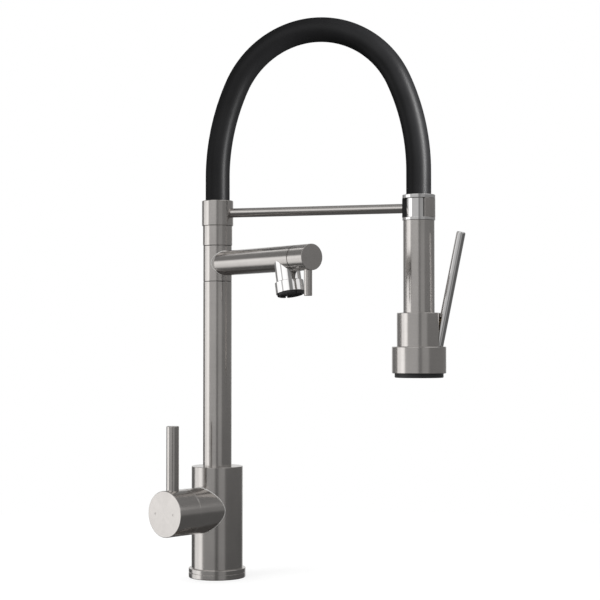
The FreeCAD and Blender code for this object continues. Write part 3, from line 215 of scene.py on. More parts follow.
class Turned:
    """A closed outline turned about an axis. It keeps exact normals for the faces that come from it."""

    def __init__(self, outline, matrix=None, start=0.0, end=360.0, around=AROUND):
        self.outline = [(max(r, 0.0), z) for r, z in outline]
        self.matrix = matrix or Matrix.Identity(4)
        self.start = math.radians(start)
        self.end = math.radians(end)
        self.around = around
        self._find_normals()

    def _find_normals(self):
        points = np.array(self.outline)
        nexts = np.roll(points, -1, axis=0)
        edges = nexts - points
        lengths = np.linalg.norm(edges, axis=1)
        area = float(np.sum(points[:, 0] * nexts[:, 1] - nexts[:, 0] * points[:, 1]))
        side = 1.0 if area > 0 else -1.0
        out = np.stack([edges[:, 1], -edges[:, 0]], axis=1) * side
        out /= np.maximum(lengths, 1e-12)[:, None]
        self.segments = []
        count = len(points)
        limit = math.cos(math.radians(SMOOTH_ANGLE))
        for i in range(count):
            if lengths[i] < 1e-9:
                continue
            ends = []
            for other in (i - 1, (i + 1) % count):
                if lengths[other] > 1e-9 and float(out[i] @ out[other]) > limit:
                    longer = i if lengths[i] > 4 * lengths[other] else other
                    even = max(lengths[i], lengths[other]) < 4 * min(lengths[i], lengths[other])
                    normal = out[i] + out[other] if even else out[longer]
                    ends.append(normal / np.linalg.norm(normal))
                else:
                    ends.append(out[i])
            run = float(lengths[:i].sum())
            self.segments.append((points[i], nexts[i], ends[0], ends[1], out[i], run, lengths[i]))

    def object(self, name):
        mesh = bmesh.new()
        whole = abs(self.end - self.start) > math.tau - 1e-6
        steps = self.around if whole else max(6, round(self.around * (self.end - self.start) / math.tau))
        columns = steps if whole else steps + 1
        rings = []
        for radius, height in self.outline:
            if radius < 1e-9:
                rings.append([mesh.verts.new((0, 0, height))] * columns)
                continue
            angles = [self.start + (self.end - self.start) * k / steps for k in range(columns)]
            rings.append([mesh.verts.new((radius * math.cos(a), radius * math.sin(a), height))
                          for a in angles])
        count = len(rings)
        for i in range(count):
            low, high = rings[i], rings[(i + 1) % count]
            for k in range(steps):
                a, b = low[k], low[(k + 1) % columns]
                c, d = high[(k + 1) % columns], high[k]
                corners = []
                for corner in (a, b, c, d):
                    if corner not in corners:
                        corners.append(corner)
                if len(corners) > 2:
                    mesh.faces.new(corners)
        if not whole:
            mesh.faces.new([ring[0] for ring in rings])
            mesh.faces.new([ring[-1] for ring in reversed(rings)])
        bmesh.ops.recalc_face_normals(mesh, faces=mesh.faces)
        mesh.transform(self.matrix)
        return linked_piece(name, mesh)


def add_cut(piece, tool, operation):
    """Joins or cuts two closed meshes and keeps the result as the piece's mesh."""
    modifier = piece.modifiers.new("cut", "BOOLEAN")
    modifier.operation = operation
    modifier.solver = "EXACT"
    modifier.object = tool
    bpy.context.view_layer.update()
    depsgraph = bpy.context.evaluated_depsgraph_get()
    result = bpy.data.meshes.new_from_object(piece.evaluated_get(depsgraph))
    piece.modifiers.clear()
    old = piece.data
    piece.data = result
    result.name = old.name + "_cut"
    bpy.data.meshes.remove(old)
    bpy.data.objects.remove(tool)
    return piece


def cut(piece, *tools):
    for tool in tools:
        add_cut(piece, tool, "DIFFERENCE")
    return piece


def fuse(piece, *tools):
    for tool in tools:
        add_cut(piece, tool, "UNION")
    return piece


def keep(piece, tool):
    return add_cut(piece, tool, "INTERSECT")


def block(name, low, high, matrix=None):
    """A closed box to cut with."""
    mesh = bmesh.new()
    bmesh.ops.create_cube(mesh, size=1.0)
    for vertex in mesh.verts:
        vertex.co = Vector(l + (c + 0.5) * (h - l) for c, l, h in zip(vertex.co, low, high))
    if matrix is not None:
        mesh.transform(matrix)
    return linked_piece(name, mesh)


def shaft(radius, low, high, matrix=None, around=AROUND):
    """A plain solid cylinder, to build from or to cut with."""
    return Turned([(0, low), (radius, low), (radius, high), (0, high)], matrix, around=around)


def finish_surface(piece, *turned):
    """Sets exact normals, and the coordinates of a finish: round the axis, and along the outline."""
    mesh = piece.data
    count = len(mesh.loops)
    points = np.empty(len(mesh.vertices) * 3)
    mesh.vertices.foreach_get("co", points)
    points = points.reshape(-1, 3)
    corner_vertex = np.empty(count, int)
    mesh.loops.foreach_get("vertex_index", corner_vertex)
    face_of = np.empty(count, int)
    for polygon in mesh.polygons:
        face_of[polygon.loop_start:polygon.loop_start + polygon.loop_total] = polygon.index
    face_normals = np.empty(len(mesh.polygons) * 3)
    mesh.polygons.foreach_get("normal", face_normals)
    face_normals = face_normals.reshape(-1, 3)
    centres = np.empty(len(mesh.polygons) * 3)
    mesh.polygons.foreach_get("center", centres)
    centres = centres.reshape(-1, 3)
    normals = face_normals[face_of].copy()
    brush = points[corner_vertex].copy()
    settled = np.zeros(count, bool)
    for shape in turned:
        back = np.array(shape.matrix.inverted())
        rotation = np.array(shape.matrix.to_3x3())
        local = points[corner_vertex] @ back[:3, :3].T + back[:3, 3]
        middle = (centres @ back[:3, :3].T + back[:3, 3])[face_of]
        flat = normals_in = face_normals[face_of] @ rotation
        radius = np.linalg.norm(local[:, :2], axis=1)
        angle = np.arctan2(local[:, 1], local[:, 0])
        middle_angle = np.arctan2(middle[:, 1], middle[:, 0])
        on_axis = radius < 1e-7
        angle[on_axis] = middle_angle[on_axis]
        angle = middle_angle + (angle - middle_angle + math.pi) % math.tau - math.pi
        radial = np.stack([np.cos(angle), np.sin(angle)], axis=1)
        flat_radial = np.einsum("ij,ij->i", flat[:, :2],
                                np.stack([np.cos(middle_angle), np.sin(middle_angle)], axis=1))
        best = np.full(count, 2e-5)
        for start, end, first, last, out, run, length in shape.segments:
            agrees = flat_radial * out[0] + normals_in[:, 2] * out[1] > 0.97
            direction = (end - start) / length
            offset = np.stack([radius - start[0], local[:, 2] - start[1]], axis=1)
            along = np.clip(offset @ direction, 0, length)
            miss = np.linalg.norm(offset - np.outer(along, direction), axis=1)
            hit = agrees & (miss < best) & ~settled
            if not hit.any():
                continue
            share = (along / length)[:, None]
            outline_normal = first * (1 - share) + last * share
            outline_normal /= np.linalg.norm(outline_normal, axis=1)[:, None]
            exact = np.concatenate([radial * outline_normal[:, :1], outline_normal[:, 1:]], axis=1)
            normals[hit] = exact[hit] @ rotation.T
            size = max(abs(start[0]), abs(end[0]), 1e-4)
            brush[hit] = np.stack([angle * size, run + along, np.full(count, size)], axis=1)[hit]
            best = np.where(hit, miss, best)
        settled |= best < 1.9999e-5
    mesh.polygons.foreach_set("use_smooth", np.ones(len(mesh.polygons), bool))
    mesh.normals_split_custom_set(normals)
    attribute = mesh.attributes.get("brush") or mesh.attributes.new("brush", "FLOAT_VECTOR", "CORNER")
    attribute.data.foreach_set("vector", brush.astype(np.float32).ravel())
    return piece


def place(piece, body, slot, *nodes):
    """Hands a finished piece to the frame: its body, its finish and the CAD nodes that it stands for."""
    piece.data.materials.clear()
    piece.data.materials.append(MATERIALS[slot])
    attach(piece, body)
    if nodes:
        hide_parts(*nodes)
    return piece


def turned_piece(name, corners, body, slot, nodes, matrix=None, start=0.0, end=360.0):
    shape = Turned(rounded(corners), matrix, start, end)
    return place(finish_surface(shape.object(name), shape), body, slot, *nodes)


# ================================================================== materials
def add_node(tree, kind, **sockets):
    """Adds a shader node. Each named socket, with _ for a space, takes a link or a plain value."""
    node = tree.nodes.new("ShaderNode" + kind)
    for name, value in sockets.items():
        socket = node.inputs[name.replace("_", " ")]
        if isinstance(value, bpy.types.NodeSocket):
            tree.links.new(value, socket)
        else:
            socket.default_value = value
    return node


def mix_shaders(tree, share, first, second):
    node = add_node(tree, "MixShader", Fac=share)
    tree.links.new(first, node.inputs[1])
    tree.links.new(second, node.inputs[2])
    return node.outputs["Shader"]


def add_shaders(tree, first, second):
    node = tree.nodes.new("ShaderNodeAddShader")
    tree.links.new(first, node.inputs[0])
    tree.links.new(second, node.inputs[1])
    return node.outputs["Shader"]


def object_coordinates(tree):
    return tree.nodes.new("ShaderNodeTexCoord").outputs["Object"]


def new_material(name):
    material = bpy.data.materials.new(name)
    material.use_nodes = True
    tree = material.node_tree
    shader = tree.nodes["Principled BSDF"]
    return material, tree, shader


def maths(tree, operation, a, b=None):
    node = tree.nodes.new("ShaderNodeMath")
    node.operation = operation
    for socket, value in zip(node.inputs, (a, b)):
        if value is None:
            continue
        if isinstance(value, (int, float)):
            socket.default_value = value
        else:
            tree.links.new(value, socket)
    return node.outputs[0]


def stretched_noise(tree, vector, scale, detail=3.0, roughness=0.55):
    """Noise on coordinates that are scaled apart in each direction."""
    scaled = add_node(tree, "Mapping", Vector=vector, Scale=scale).outputs["Vector"]
    noise = add_node(tree, "TexNoise", Vector=scaled, Scale=1.0, Detail=detail, Roughness=roughness)
    return noise.outputs["Fac"]


def ramp(tree, value, stops, interpolation="LINEAR"):
    node = tree.nodes.new("ShaderNodeValToRGB")
    node.color_ramp.interpolation = interpolation
    elements = node.color_ramp.elements
    while len(elements) > 1:
        elements.remove(elements[-1])
    for i, (position, colour) in enumerate(stops):
        element = elements[0] if i == 0 else elements.new(position)
        element.position = position
        element.color = (*colour, 1.0) if len(colour) == 3 else colour
    tree.links.new(value, node.inputs["Fac"])
    return node.outputs["Color"]


def spread(tree, value, low, high):
    """Takes 0..1 to a range."""
    return add_node(tree, "MapRange", Value=value, To_Min=low, To_Max=high).outputs["Result"]


def bump(tree, shader, height, distance, strength=1.0):
    node = add_node(tree, "Bump", Distance=distance, Strength=strength, Height=height)
    tree.links.new(node.outputs["Normal"], shader.inputs["Normal"])


def brushed_steel(name, tint, roughness, grain):
    """Stainless steel with fine lines round each turned piece, and faint cloudy patches."""
    material, tree, shader = new_material(name)
    attribute = tree.nodes.new("ShaderNodeAttribute")
    attribute.attribute_name = "brush"
    coordinates = attribute.outputs["Vector"]
    lines = stretched_noise(tree, coordinates, (60.0, 5200.0, 20.0), detail=4.0)
    scratches = stretched_noise(tree, coordinates, (140.0, 1500.0, 20.0), detail=2.0)
    clouds = stretched_noise(tree, coordinates, (70.0, 40.0, 30.0), detail=2.0)
    shade = maths(tree, "ADD", maths(tree, "MULTIPLY", lines, 0.55), maths(tree, "MULTIPLY", clouds, 0.45))
    low = tuple(c * (1 - grain) for c in tint)
    high = tuple(min(1.0, c * (1 + grain)) for c in tint)
    tree.links.new(ramp(tree, shade, [(0.30, low), (0.70, high)]), shader.inputs["Base Color"])
    rough = maths(tree, "ADD", maths(tree, "MULTIPLY", scratches, 0.05), roughness - 0.025)
    tree.links.new(rough, shader.inputs["Roughness"])
    shader.inputs["Metallic"].default_value = 1.0
    return material


def grained(name, tint, scale, detail, stops, shades, roughness, metallic=0.0, relief=None):
    """One noise that shades a colour and varies its roughness. Relief is a bump's depth and strength."""
    material, tree, shader = new_material(name)
    coordinates = object_coordinates(tree)
    noise = stretched_noise(tree, coordinates, scale, detail)
    low, high = (tuple(min(1.0, c * shade) for c in tint) for shade in shades)
    tree.links.new(ramp(tree, noise, [(stops[0], low), (stops[1], high)]), shader.inputs["Base Color"])
    tree.links.new(spread(tree, noise, *roughness), shader.inputs["Roughness"])
    shader.inputs["Metallic"].default_value = metallic
    if relief:
        bump(tree, shader, noise, *relief)
    return material, tree, shader, coordinates


def polished_steel(name, tint):
    """Plated mirror finish with very faint polishing haze."""
    return grained(name, tint, (240.0,) * 3, 3.0, (0.35, 0.65), (0.97, 1.0), (0.035, 0.075), 1.0)[0]


def satin_rubber(name, colour, roughness):
    """Matt rubber: broad cloudiness, and a fine grain that only the bump has."""
    material, tree, shader, coordinates = grained(
        name, colour, (28.0,) * 3, 2.0, (0.35, 0.65), (0.86, 1.16), (roughness - 0.03, roughness + 0.03))
    bump(tree, shader, stretched_noise(tree, coordinates, (900.0,) * 3, 2.0), 0.00002, 0.6)
    return material


def sleeve_rubber(name, colour, sheen, roughness):
    """Black rubber with an even satin sheen: the sheen keeps its strength towards the edges."""
    material = bpy.data.materials.new(name)
    material.use_nodes = True
    tree = material.node_tree
    tree.nodes.clear()
    coordinates = object_coordinates(tree)
    broad = stretched_noise(tree, coordinates, (28.0, 28.0, 28.0), detail=2.0)
    fine = stretched_noise(tree, coordinates, (900.0, 900.0, 900.0), detail=2.0)
    low = tuple(c * 0.88 for c in colour)
    high = tuple(c * 1.12 for c in colour)
    base = add_node(tree, "BsdfDiffuse", Color=ramp(tree, broad, [(0.35, low), (0.65, high)]))
    gloss = add_node(tree, "BsdfAnisotropic", Color=(sheen, sheen, sheen, 1),
                     Roughness=spread(tree, fine, roughness - 0.03, roughness + 0.03))
    add_node(tree, "OutputMaterial", Surface=add_shaders(tree, base.outputs["BSDF"], gloss.outputs["BSDF"]))
    return material


def moulded_plastic(name, colour, roughness):
    return grained(name, colour, (1800.0,) * 3, 2.0, (0.3, 0.7), (0.85, 1.15),
                   (roughness - 0.05, roughness + 0.05), 0.0, (0.00002, 0.5))[0]


def machined_metal(name, tint, roughness):
    return grained(name, tint, (300.0, 300.0, 2600.0), 3.0, (0.3, 0.7), (0.84, 1.0),
                   (roughness - 0.06, roughness + 0.08), 1.0, (0.00001, 0.4))[0]


def painted_highlight_bead(name, tint):
    """A joint line with a painted highlight: pale and satin, paler than the steel, so that it catches light from
    all round.
    """
    return grained(name, tint, (700.0,) * 3, 2.0, (0.3, 0.7), (0.9, 1.0), (0.40, 0.50), 0.35)[0]


MATERIALS = {
    "brushed_steel": brushed_steel("brushed_steel", (0.56, 0.535, 0.515), 0.19, 0.08),
    "polished_steel": polished_steel("polished_steel", (0.80, 0.79, 0.785)),
    "hose_rubber": sleeve_rubber("hose_rubber", (0.0085, 0.0085, 0.0090), 0.012, 0.42),
    "inner_hose_rubber": satin_rubber("inner_hose_rubber", (0.20, 0.20, 0.21), 0.5),
    "black_plastic": moulded_plastic("black_plastic", (0.020, 0.020, 0.021), 0.45),
    "nylon": moulded_plastic("nylon", (0.014, 0.014, 0.015), 0.40),
    "brass": machined_metal("brass", (0.55, 0.40, 0.18), 0.32),
    "ceramic": moulded_plastic("ceramic", (0.82, 0.82, 0.79), 0.30),
    "seal_rubber": satin_rubber("seal_rubber", (0.020, 0.020, 0.020), 0.6),
    "steel_hardware": machined_metal("steel_hardware", (0.60, 0.59, 0.57), 0.25),
}
# The seam beads' pale colour is a painted highlight: it stands in for the glint along each polished seam.
BEAD_PAINTED_HIGHLIGHT = painted_highlight_bead("bead_painted_highlight", (0.86, 0.85, 0.83))


# ================================================================== studio
def make_camera():
    camera = bpy.data.objects.new("camera", bpy.data.cameras.new("camera"))
    bpy.context.scene.collection.objects.link(camera)
    camera.location = CAMERA_AT
    camera.rotation_euler = (math.radians(90 + CAMERA_PITCH), 0, math.radians(CAMERA_HEADING))
    camera.data.lens = CAMERA_LENS
    camera.data.sensor_width = CAMERA_SENSOR
    bpy.context.scene.camera = camera


def fade(tree, angle, first, last, before, after):
    """Goes smoothly from one value to another between two angles, given in degrees."""
    node = add_node(tree, "MapRange", Value=angle, From_Min=math.radians(first), From_Max=math.radians(last),
                    To_Min=before, To_Max=after)
    node.interpolation_type = "SMOOTHSTEP"
    return node.outputs["Result"]


def make_world():
    """A plain room with soft boxes for the metal, even light for the rest, and white for the camera."""
    world = bpy.data.worlds.new("studio")
    world.use_nodes = True
    bpy.context.scene.world = world
    tree = world.node_tree
    tree.nodes.clear()
    direction = tree.nodes.new("ShaderNodeTexCoord").outputs["Generated"]
    split = add_node(tree, "SeparateXYZ", Vector=direction)
    rise = maths(tree, "ARCSINE", split.outputs["Z"])
    level = fade(tree, rise, -BOX_BLUR, 0, FLOOR_LEVEL, ROOM_LEVEL)
    level = maths(tree, "ADD", level, fade(tree, rise, 50, 65, 0, CEILING_LEVEL - ROOM_LEVEL))
    heading = maths(tree, "ARCTAN2", split.outputs["Y"], split.outputs["X"])
    for middle, half_width, lowest, highest, brightness in SOFT_BOXES:
        off = maths(tree, "SUBTRACT", heading, math.radians(middle))
        away = maths(tree, "ARCCOSINE", maths(tree, "COSINE", off))
        box = fade(tree, away, half_width + BOX_BLUR / 2, half_width - BOX_BLUR / 2, 0, brightness)
        for edge, inside in ((lowest, 1), (highest, -1)):
            shade = fade(tree, rise, edge - inside * BOX_BLUR / 2, edge + inside * BOX_BLUR / 2, 0, 1)
            box = maths(tree, "MULTIPLY", box, shade)
        level = maths(tree, "ADD", level, box)
    paths = tree.nodes.new("ShaderNodeLightPath").outputs
    reflected = add_node(tree, "Background", Color=WHITE, Strength=level)
    even = add_node(tree, "Background", Color=(DIFFUSE_LEVEL,) * 3 + (1.0,))
    white = add_node(tree, "Background", Color=WHITE)
    mirrored = maths(tree, "MAXIMUM", paths["Is Glossy Ray"], paths["Is Transmission Ray"])
    lighting = mix_shaders(tree, mirrored, even.outputs["Background"], reflected.outputs["Background"])
    shown = mix_shaders(tree, paths["Is Camera Ray"], lighting, white.outputs["Background"])
    add_node(tree, "OutputWorld", Surface=shown)


def area_lamp(name, at, look_at, size, power, spread_angle=180.0):
    lamp = bpy.data.lights.new(name, "AREA")
    lamp.shape = "RECTANGLE"
    lamp.size, lamp.size_y = size
    lamp.energy = power
    lamp.spread = math.radians(spread_angle)
    piece = bpy.data.objects.new(name, lamp)
    bpy.context.scene.collection.objects.link(piece)
    piece.location = at
    piece.rotation_euler = (Vector(look_at) - Vector(at)).to_track_quat("-Z", "Y").to_euler()
    return piece


def make_floor():
    """A pale worktop, white to the camera apart from the object's soft shadow, and open from below."""
    mesh = bmesh.new()
    bmesh.ops.create_circle(mesh, cap_ends=True, segments=96, radius=FLOOR_RADIUS)
    floor = linked_piece("worktop", mesh)
    material = bpy.data.materials.new("pale_worktop")
    material.use_nodes = True
    tree = material.node_tree
    tree.nodes.clear()
    diffuse = add_node(tree, "BsdfDiffuse", Color=(0.34, 0.34, 0.34, 1))
    paths = tree.nodes.new("ShaderNodeLightPath").outputs
    seen = maths(tree, "MAXIMUM", paths["Is Camera Ray"], paths["Is Glossy Ray"])
    glow = add_node(tree, "Emission", Color=WHITE, Strength=maths(tree, "MULTIPLY", seen, FLOOR_GLOW))
    both = add_shaders(tree, diffuse.outputs["BSDF"], glow.outputs["Emission"])
    side = tree.nodes.new("ShaderNodeNewGeometry")
    clear = tree.nodes.new("ShaderNodeBsdfTransparent")
    open_below = mix_shaders(tree, side.outputs["Backfacing"], both, clear.outputs["BSDF"])
    add_node(tree, "OutputMaterial", Surface=open_below)
    floor.data.materials.append(material)
    floor.visible_glossy = False


def make_studio():
    make_camera()
    make_world()
    make_floor()
    key = area_lamp("key", (-1.1, -1.3, 1.9), (0.08, 0, 0.25), (1.4, 1.4), 26.0)
    key.visible_glossy = False
    key.visible_camera = False
    bpy.context.scene.view_settings.view_transform = "Standard"


# ================================================================== the tap
EDGE = 0.5 * MM             # rounding of the corners that a hand meets
FINE = 0.25 * MM            # rounding of a seam's corners
WEB = 3.0 * MM
FIT = 0.05 * MM             # clearance between pieces that fit together
GROOVE_HALF = 0.38 * MM     # of the shadow line at each turning seam
GROOVE_DEPTH = 0.8 * MM


def make_flange():
    low, high = heights("base_flange")
    inner, outer = radii("base_flange", ORIGIN, UP)
    body_low, _ = heights("tap_body")
    _, body_radius = body_radii()
    groove = 5.2 * MM
    half = 0.42 * MM
    depth = 0.8 * MM
    seal_in, seal_out = radii("deck_gasket", ORIGIN, UP)
    seal_top = heights("deck_gasket")[1]
    corners = [
        (inner, low), (seal_in - FIT, low), (seal_in - FIT, seal_top), (seal_out + FIT, seal_top),
        (seal_out + FIT, low), (outer, low, 0.9 * MM),
        (outer, groove - half, 0.12 * MM), (outer - depth, groove - half), (outer - depth, groove + half),
        (outer, groove + half, 0.12 * MM), (outer, high, EDGE), (body_radius, high), (body_radius, body_low),
        (inner, body_low),
    ]
    turned_piece("flange", corners, "base", "brushed_steel", ["base_flange"])


def body_radii():
    """The body's bore for the column and its outer radius, away from the barrel."""
    top = heights("tap_body")[1]
    return radii("tap_body", ORIGIN, UP, top - MM)[0], radii("tap_body", ORIGIN, UP, -1, 10 * MM)[1]


def make_body():
    low, high = heights("tap_body")
    column_bore, outer = body_radii()
    shank_bore = radii("mounting_shank", ORIGIN, UP)[1] + FIT
    shank_top = heights("mounting_shank")[1]
    column_low = heights("column_tube")[0]
    trunk = Turned(rounded([
        (0, shank_top), (shank_bore, shank_top), (shank_bore, low), (outer, low), (outer, high, EDGE),
        (column_bore, high, 0.2 * MM), (column_bore, column_low), (0, column_low),
    ]))
    barrel_frame = axis_frame(joint_point("temperature_turn"), joint_axis("temperature_turn"))
    origin, axis = joint_point("temperature_turn"), joint_axis("temperature_turn")
    barrel_radius = radii("handle_cap", origin, axis)[1]
    pivot = (joint_point("flow_tilt") - origin).dot(axis)
    ball = np.linalg.norm(vertices("cartridge_retainer") - np.array(joint_point("flow_tilt")), axis=1).max()
    bore = radii("cartridge_retainer", origin, axis)[1] + FIT
    seat = span("cartridge_seals", origin, axis)[0]
    nose = []
    first = math.asin(barrel_radius / ball)
    last = math.asin(bore / ball)
    for step in range(13):
        angle = first + (last - first) * step / 12
        nose.append((ball * math.sin(angle), pivot + ball * math.cos(angle)))
    eased = 0.3 * MM
    nose[0] = (barrel_radius - eased, nose[0][1] + 0.1 * MM)
    barrel = Turned([(bore, seat), (barrel_radius, seat), (barrel_radius, nose[0][1] - eased)] + nose,
                    barrel_frame)
    plug = shaft(bore, seat, 0.1, barrel_frame)
    piece = fuse(trunk.object("body"), barrel.object("barrel"))
    piece = cut(piece, plug.object("bore"))
    inlets = []
    for side in (-1, 1):
        inlet_frame = barrel_frame @ Matrix.Translation((0, side * 8 * MM, -2 * MM))
        at = inlet_frame.translation
        outline = [(0, 0), (5.2 * MM, 0), (4.3 * MM, 0.9 * MM), (4.3 * MM, 12 * MM), (0, 12 * MM)]
        inlets.append(Turned(outline, Matrix.Translation((at.x, at.y, shank_top)), around=64))
    piece = cut(piece, *[inlet.object("inlet") for inlet in inlets])
    finish_surface(piece, trunk, barrel, plug, *inlets)
    place(piece, "base", "brushed_steel", "tap_body", "valve_barrel")
    return barrel_frame, barrel_radius, outer


def skin(mesh, rows):
    """Joins each closed ring of corners to the next."""
    for low, high in zip(rows, rows[1:]):
        for k in range(len(low)):
            n = (k + 1) % len(low)
            mesh.faces.new((low[k], low[n], high[n], high[k]))


def seam_bead(name, body, slot, matrix, radius, hub_radius, thickness):
    """A fine bead along the joint where a round arm meets a round hub."""
    loop, sizes = [], []
    count = AROUND
    for i in range(count):
        angle = math.tau * i / count
        across, up = radius * math.cos(angle), radius * math.sin(angle)
        sizes.append(thickness * (0.35 + 0.65 * (1 + math.sin(angle)) / 2))
        loop.append(matrix @ Vector((up, across, math.sqrt(hub_radius ** 2 - across ** 2))))
    bead = swept_ring(name, loop, sizes, body, slot)
    # The bead's shape is real; its pale material is a painted highlight.
    bead.data.materials[0] = BEAD_PAINTED_HIGHLIGHT
    return bead


def swept_ring(name, loop, sizes, body, slot, sides=12):
    mesh = bmesh.new()
    count = len(loop)
    centre = sum(loop, Vector()) / count
    rows = []
    for i, point in enumerate(loop):
        along = (loop[(i + 1) % count] - loop[i - 1]).normalized()
        out = (point - centre)
        out -= along * out.dot(along)
        out.normalize()
        side = along.cross(out)
        rows.append([mesh.verts.new(point + (out * math.cos(math.tau * k / sides)
                                             + side * math.sin(math.tau * k / sides)) * sizes[i])
                     for k in range(sides)])
    skin(mesh, rows + rows[:1])
    bmesh.ops.recalc_face_normals(mesh, faces=mesh.faces)
    return place(linked_piece(name, mesh, smooth=True), body, slot)


THREAD_PITCH = 1.5 * MM
THREAD_PROFILE = [(0.0, 0.0), (0.16, 0.0), (0.46, 0.9 * MM), (0.60, 0.9 * MM), (0.90, 0.0)]


def threaded_bar(radius, low, high):
    """A closed bar with a real helical thread, longer than the piece that is kept from it."""
    mesh = bmesh.new()
    turns = math.ceil((high - low) / THREAD_PITCH) + 3
    per_turn = len(THREAD_PROFILE)
    rows = []
    for row in range(turns * per_turn):
        share, depth = THREAD_PROFILE[row % per_turn]
        height = low + (row // per_turn - 2 + share) * THREAD_PITCH
        rows.append([mesh.verts.new(((radius - depth) * math.cos(math.tau * k / AROUND),
                                     (radius - depth) * math.sin(math.tau * k / AROUND),
                                     height + THREAD_PITCH * k / AROUND)) for k in range(AROUND)])
    for row in range(len(rows) - 1):
        for k in range(AROUND - 1):
            mesh.faces.new((rows[row][k], rows[row][k + 1], rows[row + 1][k + 1], rows[row + 1][k]))
        if row + 1 + per_turn < len(rows):
            mesh.faces.new((rows[row][-1], rows[row + per_turn][0], rows[row + per_turn + 1][0],
                            rows[row + 1][-1]))
    last = len(rows) - 1
    mesh.faces.new(rows[0] + [rows[j][0] for j in range(per_turn, 0, -1)])
    mesh.faces.new(rows[last] + [rows[j][-1] for j in range(last - 1, last - per_turn - 1, -1)])
    bmesh.ops.recalc_face_normals(mesh, faces=mesh.faces)
    return linked_piece("shank_thread", mesh)


def make_shank():
    """The threaded shank below the worktop."""
    low, high = heights("mounting_shank")
    bore, radius = radii("mounting_shank", ORIGIN, UP)
    lead = 1.1 * MM
    sleeve = Turned([(bore, low), (radius - lead, low), (radius + 0.1 * MM, low + lead + 0.1 * MM),
                     (radius + 0.1 * MM, high), (bore, high)])
    piece = keep(threaded_bar(radius, low, high), sleeve.object("sleeve"))
    finish_surface(piece, sleeve)
    piece.data.set_sharp_from_angle(angle=math.radians(25))
    place(piece, "base", "brass", "mounting_shank")


def make_horseshoe(name, node, slot, rounding):
    """A slip-on washer, rounded on its outer edges."""
    low, high = heights(node)
    bore, outer = radii(node, ORIGIN, UP)
    disc = Turned(rounded([(bore, low, rounding), (outer, low, rounding), (outer, high, rounding),
                           (bore, high, rounding)]))
    piece = cut(disc.object(name), block("way_in", (-bore, 0, low - MM), (bore, outer + MM, high + MM)))
    finish_surface(piece, disc)
    place(piece, "deck_fixing", slot, node)


def make_nut():
    """Hexagonal fixing nut, with its corners turned back at both ends."""
    low, high = heights("fixing_nut")
    bore, corner = radii("fixing_nut", ORIGIN, UP)
    hexagon = box_width("fixing_nut", math.radians(30)) / math.cos(math.radians(30))
    prism = shaft(hexagon, low, high, around=6)
    turned_back = 1.5 * MM
    ends = Turned(rounded([(bore, low + 0.6 * MM), (bore + 0.6 * MM, low), (corner - turned_back - MM, low),
                           (corner, low + turned_back), (corner, high - turned_back),
                           (corner - turned_back - MM, high), (bore + 0.6 * MM, high),
                           (bore, high - 0.6 * MM)]))
    piece = keep(prism.object("nut"), ends.object("ends"))
    finish_surface(piece, ends)
    place(piece, "deck_fixing", "brass", "fixing_nut")


def box_width(node, heading):
    """How far a node reaches from the column's axis in one heading."""
    return float((vertices(node)[:, :2] @ np.array((math.cos(heading), math.sin(heading)))).max())


def make_column():
    low, high = heights("column_tube")
    inner, outer = radii("column_tube", ORIGIN, UP)
    corners = [(inner, low), (outer, low), (outer, high, FINE), (inner, high)]
    turned_piece("column", corners, "base", "brushed_steel", ["column_tube"])


def make_handle(barrel_frame, radius):
    origin, axis = joint_point("temperature_turn"), joint_axis("temperature_turn")
    pivot = (joint_point("flow_tilt") - origin).dot(axis)
    ball = np.linalg.norm(vertices("handle_cap") - np.array(joint_point("flow_tilt")), axis=1).min()
    front = span("handle_cap", origin, axis)[1]
    wall = 6.0 * MM
    end = 5.0 * MM
    first = math.asin(radius / ball)
    last = math.asin((radius - wall) / ball)
    rear = []
    for step in range(9):
        angle = last + (first - last) * step / 8
        rear.append((ball * math.sin(angle), pivot + ball * math.cos(angle)))
    seam = rear[-1]
    rear[-1] = (seam[0] - GROOVE_DEPTH, pivot + math.sqrt(ball ** 2 - (seam[0] - GROOVE_DEPTH) ** 2))
    corners = [(0, front - end), (radius - wall, front - end)]
    outline = corners + rear + [(seam[0] - GROOVE_DEPTH, seam[1] + 2 * GROOVE_HALF),
                                (seam[0], seam[1] + 2 * GROOVE_HALF)]
    outline += rounded([(radius, seam[1] + 2 * MM), (radius, front, 0.65 * MM), (0, front)])[1:]
    cap = Turned(outline, barrel_frame)
    piece = cap.object("handle_cap_shell")
    pin_low, pin_high = heights("handle_pin")
    pin_centre = middle(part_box("handle_pin"))
    pin_frame = upright_at(pin_centre)
    pin_radius = radii("handle_pin", (pin_centre.x, pin_centre.y, 0), UP)[1]
    seat = origin.z + radius - 4.0 * MM
    hole = shaft(pin_radius + FIT, seat, 0.2, pin_frame)
    piece = cut(piece, hole.object("pin_hole"))
    marks = []
    for side in (-1, 1):
        at = barrel_frame @ Matrix.Translation((0, side * 12.0 * MM, 0))
        depth = front - 0.3 * MM
        marks.append(Turned(rounded([(0, depth), (1.1 * MM, depth, 0.1 * MM), (1.1 * MM, front + MM),
                                     (0, front + MM)]), at))
    piece = cut(piece, *[mark.object("mark") for mark in marks])
    grub_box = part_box("handle_grub_screw")
    grub_centre = middle(grub_box)
    grub_radius = 2.55 * MM
    grub_frame = axis_frame((grub_centre.x, grub_centre.y, grub_box[0].z), -UP, Vector((1, 0, 0)))
    access = shaft(grub_radius, 0, 0.05, grub_frame)
    piece = cut(piece, access.object("grub_hole"))
    finish_surface(piece, cap, hole, access, *marks)
    place(piece, "handle", "brushed_steel", "handle_cap")
    corners = [(0, pin_low), (3.0 * MM, pin_low), (3.0 * MM, seat), (pin_radius, seat),
               (pin_radius, pin_high, 0.8 * MM), (0, pin_high)]
    turned_piece("handle_pin_bar", corners, "handle", "brushed_steel", ["handle_pin"], pin_frame)


